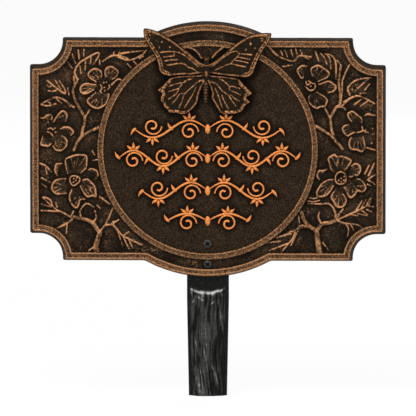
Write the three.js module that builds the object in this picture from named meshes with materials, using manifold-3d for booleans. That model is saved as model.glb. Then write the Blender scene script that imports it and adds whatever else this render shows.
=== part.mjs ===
// Garden plaque on a ground stake.
// A cast plate with scalloped corners, a raised rim, a round moulding and blossoming branches in relief,
// a butterfly cast apart and screwed on from behind, and a cast stake with a rough-hewn front,
// bolted to the plate's back with machine screws, lock washers and nuts.
// Millimetres, +Z up. The plaque faces -Y. The origin is on the stake's centre line, level with the soil,
// in the plane of the plate's back.
import * as THREE from "three";
import { mergeVertices } from "three/addons/utils/BufferGeometryUtils.js";
import Module from "manifold-3d";

// Clearances
const seatGap = 0.3; // between pieces that bear on each other
const holeClearance = 0.4; // round a screw where it passes through a casting
const threadClearance = 0.2; // round a screw in its nut or threaded boss
const fuseDepth = 0.8; // how far relief reaches into the casting that carries it

// Plate: outline
const plateWidth = 368;
const plateHeight = 232; // between the straight top and bottom edges
const plateCentreHeight = 256.5; // above the soil
const archRise = 17; // of the round arches past the straight edges
const scallopRadius = 24.5;
const scallopSideStep = 9.5; // level step from the side edge to the scallop
const scallopTopStep = 3.5; // upright step from the top edge to the scallop

// Plate: section, measured from the plane of its back
const fieldHeight = 6.5;
const rimHeight = 9.5;
const rimWidth = 7;
const rimEdgeWidth = 1.7; // the bead along each edge of the rim
const rimHollow = 0.5; // depth of the band between the beads
const sideDraft = 2.2; // the outline draws in this much from back to front
const wallDraft = 0.6; // slope of every raised wall
const pocketDepth = 3; // the cored-out back
const pocketLand = 12; // solid border round the pocket

// Round moulding
const channelWidth = 8.7; // between the moulding and the rim at the arches
const ringWidth = 7.4;
const ringHeight = 9.2;

// Blossoms, leaves and branches
const petalRise = 2.2;
const petalNotch = 1.6;
const budRadius = 4.2;
const budRise = 2.6;
const leafRise = 1.5;
const leafEdgeRise = 0.7;
const branchRise = 0.95; // crest height as a share of the branch's half width
const crestShare = 0.5; // flat crest of a branch, vein or bead, as a share of its width

// Butterfly, measured from its own back
const butterflyDrop = 26.7; // thorax below the moulding's inner edge
const butterflyShift = -1.2; // the thorax stands a little left of the plate's centre line
const butterflyTurn = -2.2; // degrees, the left wing tip stands higher
const wingThickness = 2.6;
const wingLift = 3; // degrees, the wings rise towards their tips
const wingRimHalf = 1.7;
const wingRimRise = 1.9;
const veinHalf = 0.9;
const veinRise = 1.2;
const antennaHalf = 0.9;
const thoraxHalfWidth = 4.6;
const thoraxHeight = 7.5;
const bossRadius = 4;
const bossHoleDepth = 7.5;

// Stake
const stakeLength = 457;
const stakeWidth = 43.2;
const stakeTaper = 0.0196; // each side, per millimetre of length
const tabThickness = 4.5;
const flangeDepth = 7.5; // of the two side flanges behind the web
const flangeThickness = 4;
const tabAboveScrew = 12;
const shoulderDrop = 11; // from the plate's lowest edge to the stake's shoulder
const shoulderSag = 4.5;
const lipLength = 2.4;
const frontBorder = 3.4;
const frontBulge = 7.5;
const ridgeDepth = 0.9;
const ridgeCount = 4;
const ridgeWander = 37; // length over which the ridges sway from side to side
const taperDrop = 12; // from the shoulder to where the taper starts
const pointLength = 75;
const pointBlunt = 0.07; // share of the section left at the tip
const padMargin = 4; // of the seat round the stake's tab

// Machine screws, washers and nuts that hold the stake
const screwRadius = 2;
const screwHeadRadius = 4.1;
const screwHeadHeight = 2.6;
const screwTail = 2;
const crossLength = 4.6;
const crossWidth = 1.1;
const crossDepth = 1.3;
const upperScrewInset = 9.5; // inside the moulding
const washerRadius = 3.8;
const washerThickness = 1;
const washerSplit = 0.9;
const nutAcrossFlats = 7;
const nutThickness = 3.2;

// Screws that hold the butterfly
const pinScrewRadius = 1.5;
const pinHeadRadius = 2.9;
const pinHeadHeight = 2;
const pinUpper = 3.5; // above the thorax centre
const pinLower = -13.5;

// Facets
const scallopSteps = 7;
const archSteps = 9;
const roundSides = 14;
const ringSides = 64;
const petalSides = 10;
const budSides = 8;
const leafStations = 5;
const frontColumns = 14;

// Values that follow from the sizes above
const archRadius = plateHeight / 2 + archRise;
const rimInset = sideDraft + rimWidth;
const fieldInset = rimInset + wallDraft;
const ringOuterRadius = archRadius - fieldInset - channelWidth;
const ringInnerRadius = ringOuterRadius - ringWidth;
const panelSide = plateWidth / 2 - fieldInset;
const upperScrewDrop = ringInnerRadius - upperScrewInset;
const lowerScrewDrop = ringOuterRadius + channelWidth / 2;
const screwDrops = { upper: upperScrewDrop, lower: lowerScrewDrop };
const butterflyCentre = new THREE.Vector2(butterflyShift, ringInnerRadius - butterflyDrop);
const butterflyBack = ringHeight + seatGap;
const bossLength = butterflyBack - fieldHeight - seatGap;
const tabFront = -seatGap;
const tabBack = tabFront - tabThickness;
const washerFront = tabBack - seatGap;
const nutFront = washerFront - washerThickness - seatGap;
const screwEnd = nutFront - nutThickness - screwTail;
const tabTop = plateCentreHeight - upperScrewDrop + tabAboveScrew;
const stakeTip = tabTop - stakeLength;
const shoulderHeight = plateCentreHeight - archRadius - shoulderDrop;

const wasm = await Module();
wasm.setup();

// Solids

function solidFrom(geometry) {
  const bare = geometry.clone();
  bare.deleteAttribute("normal");
  bare.deleteAttribute("uv");
  const merged = mergeVertices(bare, 1e-4);
  return new wasm.Manifold(new wasm.Mesh({
    numProp: 3,
    vertProperties: new Float32Array(merged.attributes.position.array),
    triVerts: new Uint32Array(merged.index.array),
  }));
}

function meshFrom(name, solid, material) {
  const { vertProperties, triVerts } = solid.getMesh();
  const geometry = new THREE.BufferGeometry();
  geometry.setAttribute("position", new THREE.BufferAttribute(new Float32Array(vertProperties), 3));
  geometry.setIndex(new THREE.BufferAttribute(new Uint32Array(triVerts), 1));
  geometry.computeVertexNormals();
  const mesh = new THREE.Mesh(geometry, material);
  mesh.name = name;
  return mesh;
}

function joined(solids) {
  return solids.reduce((whole, solid) => whole.add(solid));
}

// Triangles across a flat or nearly flat loop, turning the same way as the loop itself.
function capTriangles(loop) {
  const normal = new THREE.Vector3();
  loop.forEach((point, i) => normal.add(point.clone().cross(loop[(i + 1) % loop.length])));
  const [x, y, z] = [Math.abs(normal.x), Math.abs(normal.y), Math.abs(normal.z)];
  const flat = loop.map((point) => {
    if (z >= x && z >= y) return new THREE.Vector2(point.x, point.y);
    return y >= x ? new THREE.Vector2(point.z, point.x) : new THREE.Vector2(point.y, point.z);
  });
  const turnsLeft = THREE.ShapeUtils.area(flat) > 0;
  return THREE.ShapeUtils.triangulateShape(flat, []).map(([a, b, c]) => {
    const sameTurn = THREE.ShapeUtils.area([flat[a], flat[b], flat[c]]) > 0 === turnsLeft;
    return sameTurn ? [a, b, c] : [a, c, b];
  });
}

// A closed solid through loops of equally many points, capped at both ends.
function loft(loops) {
  const count = loops[0].length;
  const last = (loops.length - 1) * count;
  const index = [];
  for (let row = 0; row < last; row += count) {
    for (let i = 0; i < count; i++) {
      const next = (i + 1) % count;
      index.push(row + i, row + next, row + count + next);
      index.push(row + i, row + count + next, row + count + i);
    }
  }
  capTriangles(loops[0]).forEach(([a, b, c]) => index.push(a, c, b));
  capTriangles(loops.at(-1)).forEach(([a, b, c]) => index.push(last + a, last + b, last + c));
  const points = loops.flat();
  let volume = 0;
  for (let i = 0; i < index.length; i += 3) {
    volume += points[index[i]].clone().cross(points[index[i + 1]]).dot(points[index[i + 2]]);
  }
  const geometry = new THREE.BufferGeometry().setFromPoints(points);
  geometry.setIndex(volume > 0 ? index : index.reverse());
  return solidFrom(geometry);
}

// A turned solid standing on the Z axis, from [radius, height] pairs.
function turned(profile, sides) {
  const points = profile.map(([radius, height]) => new THREE.Vector2(radius, height));
  return solidFrom(new THREE.LatheGeometry(points, sides).rotateX(Math.PI / 2));
}

function disc(radius, low, high, x, y, sides = roundSides) {
  return turned([[0, low], [radius, low], [radius, high], [0, high]], sides).translate([x, y, 0]);
}

function block(width, depth, low, high, x, y) {
  const geometry = new THREE.BoxGeometry(width, depth, high - low);
  return solidFrom(geometry.translate(x, y, (low + high) / 2));
}

// A branch, vein or bead: a rounded ridge along a curve, tapering from one half width to the other.
function ridge(curve, steps, startHalf, endHalf, base, crestAt) {
  const loops = [];
  for (let i = 0; i <= steps; i++) {
    const point = curve.getPoint(i / steps);
    const along = curve.getTangent(i / steps);
    const half = THREE.MathUtils.lerp(startHalf, endHalf, i / steps);
    const crest = crestAt(half);
    const section = [[-1, base], [-crestShare, crest], [crestShare, crest], [1, base]];
    loops.push(section.map(([side, height]) => (
      new THREE.Vector3(point.x - along.y * half * side, point.y + along.x * half * side, height)
    )));
  }
  return loft(loops);
}

function curveThrough(points) {
  return new THREE.CatmullRomCurve3(points.map(([x, y]) => new THREE.Vector3(x, y, 0)), false, "centripetal");
}

// Plate

// The plate's outline drawn in by an inset, as one loop at the given height.
// Once the inset has used up a step at the scallop, the straight edge cuts the scallop short.
function plateLoop(inset, height) {
  const leastStep = 0.1;
  const scallop = scallopRadius + inset;
  const centreX = plateWidth / 2 - scallopSideStep;
  const centreY = plateHeight / 2 - scallopTopStep;
  const top = plateHeight / 2 - inset;
  const arch = archRadius - inset;
  const archStart = Math.asin(top / arch);
  const sideCut = Math.asin(Math.max(inset + leastStep - scallopSideStep, 0) / scallop);
  const topCut = Math.asin(Math.max(inset + leastStep - scallopTopStep, 0) / scallop);
  const scallopStart = 1.5 * Math.PI - sideCut;
  const scallopEnd = Math.PI + topCut;
  const quarter = [[plateWidth / 2 - inset, centreY + scallop * Math.sin(scallopStart)]];
  for (let i = 0; i <= scallopSteps; i++) {
    const angle = THREE.MathUtils.lerp(scallopStart, scallopEnd, i / scallopSteps);
    quarter.push([centreX + scallop * Math.cos(angle), centreY + scallop * Math.sin(angle)]);
  }
  quarter.push([centreX + scallop * Math.cos(scallopEnd), top]);
  for (let i = 0; i <= archSteps; i++) {
    const angle = THREE.MathUtils.lerp(archStart, Math.PI / 2, i / archSteps);
    quarter.push([arch * Math.cos(angle), arch * Math.sin(angle)]);
  }
  quarter.at(-1)[0] = 0;
  const back = quarter.slice(0, -1).reverse();
  return [
    ...quarter,
    ...back.map(([x, y]) => [-x, y]),
    ...quarter.map(([x, y]) => [-x, -y]),
    ...back.map(([x, y]) => [x, -y]),
  ].map(([x, y]) => new THREE.Vector3(x, y, height));
}

function plateBlank() {
  const bandHeight = rimHeight - rimHollow;
  const beadSlope = rimEdgeWidth / 2;
  return loft([
    plateLoop(pocketLand + wallDraft, pocketDepth),
    plateLoop(pocketLand, 0),
    plateLoop(0, 0),
    plateLoop(sideDraft, rimHeight),
    plateLoop(sideDraft + rimEdgeWidth, rimHeight),
    plateLoop(sideDraft + rimEdgeWidth + beadSlope, bandHeight),
    plateLoop(rimInset - rimEdgeWidth - beadSlope, bandHeight),
    plateLoop(rimInset - rimEdgeWidth, rimHeight),
    plateLoop(rimInset, rimHeight),
    plateLoop(fieldInset, fieldHeight),
  ]);
}

function roundMoulding() {
  const base = fieldHeight - fuseDepth;
  const hollow = ringHeight - rimHollow;
  const inner = ringInnerRadius + wallDraft;
  const outer = ringOuterRadius - wallDraft;
  return turned([
    [ringInnerRadius, base],
    [ringOuterRadius, base],
    [outer, ringHeight],
    [outer - rimEdgeWidth, hollow],
    [inner + rimEdgeWidth, hollow],
    [inner, ringHeight],
    [ringInnerRadius, base],
  ], ringSides);
}

// Blossoms and branches. Places are given in from the side rim and up from the plate's centre.

const branches = [
  { route: [[57, -109], [59, -94], [60, -84]], start: 2.9, end: 2.3 },
  { route: [[60, -84], [67, -82], [73, -79], [77, -72], [76.5, -65]], start: 2.1, end: 1.4 },
  { route: [[60, -84], [57, -79], [50, -76], [42, -74], [38, -68], [34, -62]], start: 2.2, end: 1.4 },
  { route: [[42, -75], [40, -65], [45, -58], [54, -56.5], [67, -57]], start: 1.7, end: 1 },
  { route: [[57, -79], [59.5, -70], [58, -64]], start: 1.6, end: 1.1 },
  { route: [[30, -76], [28, -85], [28.5, -93]], start: 1.1, end: 0.8 },
  { route: [[66, 23.5], [56, 19], [46.5, 15], [39.5, 8], [34.5, 0.5]], start: 1.7, end: 1.3 },
  { route: [[46.5, 15], [48, 25], [47, 35]], start: 1.8, end: 1.6 },
  { route: [[47, 35], [52, 44]], start: 1.4, end: 0.9 },
  { route: [[47, 35], [42, 42], [37.5, 46], [36, 57], [37, 70], [38.5, 83]], start: 1.6, end: 0.9 },
  { route: [[36.5, 66], [33, 77], [26.5, 90]], start: 1.2, end: 0.8 },
];

const leaves = [
  { base: [37, 72], tip: [62, 100], width: 15 },
  { base: [67, 95], tip: [101, 105], width: 9 },
  { base: [29, 57], tip: [5, 74], width: 13 },
  { base: [35, 45], tip: [2, 47], width: 9 },
  { base: [69, -56], tip: [61, -47], width: 6 },
  { base: [12, -38], tip: [1, -13], width: 8 },
  { base: [75, -79], tip: [113, -103], width: 9 },
  { base: [39, -72], tip: [4, -50], width: 12 },
  { base: [40, -74], tip: [15, -82], width: 7 },
];

// Petals are [angle in degrees, length, width].
const blossoms = [
  { at: [67.5, 65], petals: [[-4, 22, 15], [58, 23, 15], [122, 22, 15], [-63, 20, 15]] },
  { at: [14, 19], petals: [[118, 19, 14], [177, 20, 14], [250, 19, 14], [45, 18, 13], [-50, 18, 13]] },
  { at: [36, -30.5], petals: [
    [93, 25, 20], [-25, 26, 17], [266, 28, 18], [212, 27, 16], [164, 21, 12], [33, 21, 12],
  ] },
];

// Puts a place on the right panel (side 1) or mirrors it to the left one (side -1).
function panelPlace([inFromRim, up], side) {
  return [side * (panelSide - inFromRim), up];
}

function branch({ route, start, end }, side) {
  const curve = curveThrough(route.map((place) => panelPlace(place, side)));
  const steps = Math.ceil(1.5 * (route.length - 1));
  return ridge(curve, steps, start, end, fieldHeight - fuseDepth, (half) => fieldHeight + half * branchRise);
}

// A pointed leaf: sections along its midrib, widest a little before the middle.
function leaf({ base, tip, width }, side) {
  const start = new THREE.Vector2(...panelPlace(base, side));
  const along = new THREE.Vector2(...panelPlace(tip, side)).sub(start);
  const across = new THREE.Vector2(-along.y, along.x).normalize();
  const tipShare = 0.06; // the leaf never narrows to nothing
  const edgeShare = 0.9; // its edge leans in by the rest
  const bellyShift = 0.8; // under 1, the widest place lies before the middle
  const loops = [];
  for (let i = 0; i <= leafStations; i++) {
    const share = i / leafStations;
    const half = (width / 2) * Math.max(Math.sin(Math.PI * share ** bellyShift), tipShare);
    const centre = start.clone().addScaledVector(along, share);
    const low = fieldHeight - fuseDepth;
    const edge = fieldHeight + leafEdgeRise;
    const section = [[-1, low], [-edgeShare, edge], [0, fieldHeight + leafRise], [edgeShare, edge], [1, low]];
    loops.push(section.map(([reach, height]) => (
      new THREE.Vector3(centre.x + across.x * half * reach, centre.y + across.y * half * reach, height)
    )));
  }
  return loft(loops);
}

// A cupped petal with a notched tip, drawn along +X from the blossom's centre and then turned.
function petal([degrees, length, width], side) {
  const root = budRadius / 2; // the petals start under the bud
  const middle = THREE.MathUtils.lerp(root, length, 0.6);
  const waist = 0.45; // width at the root, as a share of the width at the tip
  const fullest = 0.75; // the outline formula peaks at this share of the half width
  const notchSpread = 0.4; // radians of the outline
  const outline = [];
  for (let i = 0; i < petalSides; i++) {
    const angle = (2 * Math.PI * i) / petalSides;
    const reach = (1 - Math.cos(angle)) / 2;
    const notch = petalNotch * Math.exp(-(((angle - Math.PI) / notchSpread) ** 2));
    const half = (width / 2) * Math.sin(angle) * THREE.MathUtils.lerp(waist, 1, reach) / fullest;
    outline.push([root + (length - root) * reach - notch, half]);
  }
  const levels = [
    [1, fieldHeight - fuseDepth],
    [0.88, fieldHeight + petalRise],
    [0.5, fieldHeight + petalRise * 0.4],
  ];
  const turn = THREE.MathUtils.degToRad(side > 0 ? degrees : 180 - degrees);
  const axis = new THREE.Vector3(0, 0, 1);
  return loft(levels.map(([share, height]) => outline.map(([x, y]) => (
    new THREE.Vector3(middle + (x - middle) * share, y * share, height).applyAxisAngle(axis, turn)
  ))));
}

function blossom({ at, petals }, side) {
  const bud = turned([
    [0, fieldHeight - fuseDepth],
    [budRadius, fieldHeight - fuseDepth],
    [budRadius, fieldHeight + budRise * 0.6],
    [budRadius * 0.6, fieldHeight + budRise],
    [0, fieldHeight + budRise],
  ], budSides);
  const [x, y] = panelPlace(at, side);
  return joined([bud, ...petals.map((shape) => petal(shape, side))]).translate([x, y, 0]);
}

// All relief of one panel, kept between the rim and the round moulding.
function panelRelief(side) {
  const relief = joined([
    ...branches.map((shape) => branch(shape, side)),
    ...leaves.map((shape) => leaf(shape, side)),
    ...blossoms.map((shape) => blossom(shape, side)),
  ]);
  const middleOfRim = sideDraft + rimWidth / 2;
  const panel = loft([plateLoop(middleOfRim, 0), plateLoop(middleOfRim, 2 * rimHeight)]);
  const middleOfRing = (ringInnerRadius + ringOuterRadius) / 2;
  return relief.intersect(panel).subtract(disc(middleOfRing, -1, 2 * rimHeight, 0, 0, ringSides));
}

// Antennae lie on the plate, from the butterfly's head to the moulding.
function antenna(side) {
  const base = fieldHeight - fuseDepth;
  const route = [[3, 11], [8, 15], [14, 20], [20, 25.5]].map(([x, y]) => butterflyPlace(side * x, y));
  return ridge(curveThrough(route), 5, antennaHalf, antennaHalf, base, () => ringHeight - wallDraft);
}

function stakeSeat() {
  const width = stakeWidth + 2 * padMargin;
  const bottom = -archRadius + pocketLand / 2;
  const top = tabTop - plateCentreHeight + padMargin;
  return block(width, top - bottom, 0, pocketDepth + fuseDepth, 0, (top + bottom) / 2);
}

function plate() {
  let solid = joined([
    plateBlank(),
    roundMoulding(),
    panelRelief(1),
    panelRelief(-1),
    antenna(1),
    antenna(-1),
    stakeSeat(),
  ]);
  for (const drop of Object.values(screwDrops)) {
    solid = solid.subtract(disc(screwRadius + holeClearance, -1, 2 * rimHeight, 0, -drop));
  }
  for (const pin of [pinUpper, pinLower]) {
    const [x, y] = butterflyPlace(0, pin);
    solid = solid.subtract(disc(pinScrewRadius + holeClearance, -1, 2 * rimHeight, x, y));
  }
  return solid;
}

// Butterfly. Places are right and up from the thorax, on the right side of the body.

const foreWing = [
  [0.6, 6.4], [6.5, 8.2], [20.8, 19.2], [38.1, 32.7], [46.5, 37.8], [54.3, 40.6], [60, 41.5], [64.2, 41.7],
  [65.1, 39.8], [60.8, 29.3], [51.6, 13.5], [49, 5.2], [46.2, -0.3], [42.4, -3.3], [30, -3.4], [0.6, 0],
];
const hindWing = [
  [1, -5], [12, -5.3], [25, -6], [35, -7.9], [41.2, -13.5], [47.3, -20], [43.4, -24.2], [45.2, -29],
  [40.6, -35.6], [34.4, -40.6], [21.3, -42.7], [15.8, -39.2], [10.6, -32.9], [7.7, -23.6], [5.2, -14.6],
  [1, -9.5],
];
const foreVeins = [
  [[49, 19], [38.6, 20.3], [31.4, 20.8], [18.6, 13.8], [9, 6.7]],
  [[46, 14.4], [33.8, 15.5]],
  [[45, 10.7], [29.5, 12.3]],
  [[44, 6.4], [25.2, 8.3], [7, 1]],
];
const hindVeins = [
  [[9, -6], [21.5, -10.1], [42, -16]],
  [[21.5, -10.1], [28.3, -17.5], [43, -21.8]],
  [[5, -7.4], [13, -13.8], [22.4, -22.5], [28.1, -22.7], [42, -30.6]],
  [[28.1, -23.4], [37, -37]],
  [[21.4, -22.9], [28, -40]],
  [[7.9, -13.6], [17.6, -28.4], [20.4, -41]],
];
// The body's sections, as [height along the body, half width, height off the back].
const bodySections = [
  [17, 1.6, 3], [14.5, 3.4, 5.5], [11, 3, 5], [9, 3.6, 5.5], [4, thoraxHalfWidth, thoraxHeight],
  [-3, thoraxHalfWidth * 0.95, thoraxHeight], [-8, 3.6, 6], [-14, 4.2, 6], [-24, 3.4, 5], [-33, 1.2, 2.5],
];

// A place on the butterfly, as a place on the plate.
function butterflyPlace(x, y) {
  const place = new THREE.Vector2(x, y);
  place.rotateAround(new THREE.Vector2(), THREE.MathUtils.degToRad(butterflyTurn));
  return place.add(butterflyCentre).toArray();
}

// One wing: a thin web with a raised rim and veins, lifted towards its tip.
function wing(outline, veins, side) {
  const mirrored = (points) => curveThrough(points.map(([x, y]) => [side * x, y]));
  const steps = Math.ceil(1.6 * outline.length);
  const edge = mirrored(outline);
  const shape = new THREE.Shape(edge.getPoints(steps).map(({ x, y }) => new THREE.Vector2(x, y)));
  const web = solidFrom(new THREE.ExtrudeGeometry(shape, { depth: wingThickness, bevelEnabled: false }));
  const rim = ridge(edge, steps, wingRimHalf, wingRimHalf, 0, () => wingThickness + wingRimRise);
  const veinBase = wingThickness - fuseDepth;
  const bars = veins.map((points) => (
    ridge(mirrored(points), 3, veinHalf, veinHalf * 0.7, veinBase, () => wingThickness + veinRise)
  ));
  return joined([web, rim, ...bars]).rotate([0, -side * wingLift, 0]);
}

function butterflyBody() {
  const sides = 12;
  return loft(bodySections.map(([y, half, height]) => {
    const loop = [];
    for (let i = 0; i <= sides; i++) {
      const angle = (Math.PI * i) / sides;
      loop.push(new THREE.Vector3(half * Math.cos(angle), y, height * Math.sin(angle) ** 0.8));
    }
    return loop;
  }));
}

function butterfly() {
  let solid = joined([
    butterflyBody(),
    wing(foreWing, foreVeins, 1),
    wing(foreWing, foreVeins, -1),
    wing(hindWing, hindVeins, 1),
    wing(hindWing, hindVeins, -1),
  ]);
  const holeRadius = pinScrewRadius + threadClearance;
  for (const pin of [pinUpper, pinLower]) {
    solid = solid.add(disc(bossRadius, -bossLength, fuseDepth, 0, pin));
    solid = solid.subtract(disc(holeRadius, -bossLength - 1, bossHoleDepth - bossLength, 0, pin));
  }
  return solid;
}

// Stake. Measured up from the soil, with the plane of the plate's back at height 0.

// Half the stake's width at a level.
function stakeHalfWidth(level) {
  const below = Math.max(shoulderHeight - taperDrop - level, 0);
  return stakeWidth / 2 - stakeTaper * below;
}

// How far the hewn front stands out at a place across the stake, from -1 to 1, at a level.
function frontRise(across, level) {
  const crownShare = 0.96; // of a full half round, so the edges keep a low step
  const shoulder = shoulderHeight - shoulderSag * (1 - across ** 2);
  const lip = THREE.MathUtils.smoothstep(shoulder - level, 0, lipLength);
  const sway = 1.4 * Math.sin(level / ridgeWander) + 0.8 * Math.sin((2 * level) / ridgeWander);
  const ridges = ridgeDepth * Math.cos(Math.PI * ridgeCount * across + sway);
  const crown = Math.sqrt(1 - (crownShare * across) ** 2);
  return lip * crown * (frontBulge + ridges);
}

// The channel section at a level, as a loop that goes round the outside and back along the channel.
function stakeSection(level) {
  const half = stakeHalfWidth(level);
  const inner = half - flangeThickness;
  const flangeBack = tabBack - flangeDepth;
  const loop = [[-half, flangeBack], [-half, tabFront]];
  for (let i = 0; i <= frontColumns; i++) {
    const across = (2 * i) / frontColumns - 1;
    loop.push([across * (half - frontBorder), tabFront + frontRise(across, level)]);
  }
  loop.push([half, tabFront], [half, flangeBack], [inner, flangeBack]);
  loop.push([inner, tabBack], [-inner, tabBack], [-inner, flangeBack]);
  const toPoint = THREE.MathUtils.clamp((level - stakeTip) / pointLength, 0, 1);
  const share = THREE.MathUtils.lerp(pointBlunt, 1, toPoint);
  return loop.map(([x, z]) => new THREE.Vector3(x * share, level, tabBack + (z - tabBack) * share));
}

function stake() {
  const lipTop = shoulderHeight + lipLength / 2;
  const lipBottom = shoulderHeight - shoulderSag - lipLength;
  const lipSteps = 7;
  const shaftSteps = 14;
  const pointStart = stakeTip + pointLength;
  const levels = [tabTop];
  for (let i = 0; i <= lipSteps; i++) {
    levels.push(THREE.MathUtils.lerp(lipTop, lipBottom, i / lipSteps));
  }
  for (let i = 1; i <= shaftSteps; i++) {
    levels.push(THREE.MathUtils.lerp(lipBottom, pointStart, i / shaftSteps));
  }
  levels.push(stakeTip + pointLength / 2, stakeTip);
  let solid = loft(levels.map(stakeSection));
  for (const drop of Object.values(screwDrops)) {
    const level = plateCentreHeight - drop;
    solid = solid.subtract(disc(screwRadius + holeClearance, 2 * tabBack, fieldHeight, 0, level));
  }
  return solid;
}

// Fasteners, each standing on the Z axis with its head up.

function crossRecess(top) {
  const low = top - crossDepth;
  const bar = block(crossLength, crossWidth, low, top + 1, 0, 0);
  return bar.add(block(crossWidth, crossLength, low, top + 1, 0, 0));
}

function panScrew(shankRadius, headRadius, headHeight, seat, end) {
  const top = seat + headHeight;
  const screw = turned([
    [0, end],
    [shankRadius * 0.7, end],
    [shankRadius, end + shankRadius * 0.5],
    [shankRadius, seat],
    [headRadius, seat],
    [headRadius, seat + headHeight * 0.45],
    [headRadius * 0.8, top - headHeight * 0.12],
    [headRadius * 0.45, top],
    [0, top],
  ], roundSides);
  return screw.subtract(crossRecess(top));
}

function lockWasher() {
  const bore = screwRadius + threadClearance;
  const back = washerFront - washerThickness;
  const ring = turned([
    [bore, back], [washerRadius, back], [washerRadius, washerFront], [bore, washerFront], [bore, back],
  ], roundSides);
  return ring.subtract(block(washerRadius * 2, washerSplit, back - 1, washerFront + 1, washerRadius, 0));
}

function hexNut() {
  const corner = nutAcrossFlats / 2 / Math.cos(Math.PI / 6);
  const hex = disc(corner, nutFront - nutThickness, nutFront, 0, 0, 6);
  const bore = screwRadius + threadClearance;
  return hex.subtract(disc(bore, nutFront - nutThickness - 1, nutFront + 1, 0, 0));
}

// Materials
const bronze = new THREE.MeshStandardMaterial({ color: 0x3a2c22, roughness: 0.5, metalness: 0.6 });
const copper = new THREE.MeshStandardMaterial({ color: 0x6b4a30, roughness: 0.45, metalness: 0.7 });
const blackEnamel = new THREE.MeshStandardMaterial({ color: 0x1d1d1b, roughness: 0.4, metalness: 0.2 });
const darkZinc = new THREE.MeshStandardMaterial({ color: 0x3c3c3a, roughness: 0.4, metalness: 0.8 });
const brightZinc = new THREE.MeshStandardMaterial({ color: 0x9a9c9c, roughness: 0.35, metalness: 0.9 });

// Assembly. Every piece is modelled lying face up; the group stands it upright, facing -Y.
const plaque = new THREE.Group();
plaque.rotation.x = Math.PI / 2;

const plateGroup = new THREE.Group();
plateGroup.position.y = plateCentreHeight;
plateGroup.add(meshFrom("plaque_plate", plate(), bronze));
plaque.add(plateGroup);

const butterflyGroup = new THREE.Group();
butterflyGroup.position.set(butterflyCentre.x, butterflyCentre.y, butterflyBack);
butterflyGroup.rotation.z = THREE.MathUtils.degToRad(butterflyTurn);
butterflyGroup.add(meshFrom("butterfly", butterfly(), copper));
plateGroup.add(butterflyGroup);

// The butterfly's screws go in from the pocket, so they stand head down.
const pinSeat = -(pocketDepth - seatGap);
const pinEnd = -(fieldHeight + bossHoleDepth - 1);
for (const [place, pin] of Object.entries({ upper: pinUpper, lower: pinLower })) {
  const shape = panScrew(pinScrewRadius, pinHeadRadius, pinHeadHeight, pinSeat, pinEnd);
  const screw = meshFrom(`butterfly_screw_${place}`, shape, brightZinc);
  screw.rotation.y = Math.PI;
  const [x, y] = butterflyPlace(0, pin);
  screw.position.set(x, y, 0);
  plateGroup.add(screw);
}

plaque.add(meshFrom("stake", stake(), blackEnamel));
for (const [place, drop] of Object.entries(screwDrops)) {
  const fasteners = new THREE.Group();
  fasteners.position.y = plateCentreHeight - drop;
  const seat = fieldHeight + seatGap;
  const shape = panScrew(screwRadius, screwHeadRadius, screwHeadHeight, seat, screwEnd);
  fasteners.add(meshFrom(`stake_screw_${place}`, shape, darkZinc));
  fasteners.add(meshFrom(`lock_washer_${place}`, lockWasher(), brightZinc));
  fasteners.add(meshFrom(`hex_nut_${place}`, hexNut(), brightZinc));
  plaque.add(fasteners);
}

export default plaque;
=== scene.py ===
# Garden plaque on a ground stake, dressed for rendering. Sizes are millimetres.
# On the plate, x runs right and y up from its centre, and z out from the plane of its back.
import math

import bmesh
import bpy
import numpy as np
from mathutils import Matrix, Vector


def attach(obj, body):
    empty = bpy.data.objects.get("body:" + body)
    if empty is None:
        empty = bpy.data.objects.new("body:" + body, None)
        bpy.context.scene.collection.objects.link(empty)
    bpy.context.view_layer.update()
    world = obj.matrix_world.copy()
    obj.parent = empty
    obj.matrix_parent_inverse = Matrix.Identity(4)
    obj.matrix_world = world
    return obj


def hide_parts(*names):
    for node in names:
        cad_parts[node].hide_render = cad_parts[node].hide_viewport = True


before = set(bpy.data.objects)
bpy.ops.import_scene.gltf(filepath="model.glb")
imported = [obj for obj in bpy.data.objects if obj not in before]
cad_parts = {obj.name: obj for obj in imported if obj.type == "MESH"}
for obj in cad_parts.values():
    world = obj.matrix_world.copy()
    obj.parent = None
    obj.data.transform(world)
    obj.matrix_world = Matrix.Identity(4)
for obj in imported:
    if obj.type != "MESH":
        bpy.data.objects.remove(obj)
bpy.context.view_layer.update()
print("frame:", len(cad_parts), "nodes")

plateUp = 256.5  # the plate's centre above the soil
fieldHeight = 6.5  # the plate's field above the plane of its back


# Numbers, routes and surfaces

def smooth(share):
    share = np.clip(share, 0, 1)
    return share * share * (3 - 2 * share)


def castNoise(x, y, cell, seed):
    # smooth seeded noise from -0.5 to 0.5, with bumps about one cell across
    size = 256  # cells after which the noise repeats
    table = np.random.default_rng(seed).random((size, size)) - 0.5
    u, v = np.asarray(x) / cell, np.asarray(y) / cell
    i, j = np.floor(u).astype(int), np.floor(v).astype(int)
    s, t = smooth(u - i), smooth(v - j)
    i, j, right, above = i % size, j % size, (i + 1) % size, (j + 1) % size
    low = table[i, j] * (1 - s) + table[right, j] * s
    high = table[i, above] * (1 - s) + table[right, above] * s
    return low * (1 - t) + high * t


def smoothRoute(points, spacing=1.2):
    # a curve through all the points, in steps of about the spacing
    p = np.asarray(points, float)
    ends = np.vstack([2 * p[0] - p[1], p, 2 * p[-1] - p[-2]])
    parts = []
    for a, b, c, d in zip(ends, ends[1:], ends[2:], ends[3:]):
        count = max(2, round(float(np.linalg.norm(c - b)) / spacing))
        t = np.arange(count)[:, None] / count
        curve = 2 * b + (c - a) * t + (2 * a - 5 * b + 4 * c - d) * t**2 + (3 * b - a - 3 * c + d) * t**3
        parts.append(curve / 2)
    return np.vstack(parts + [p[-1:]])


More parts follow.
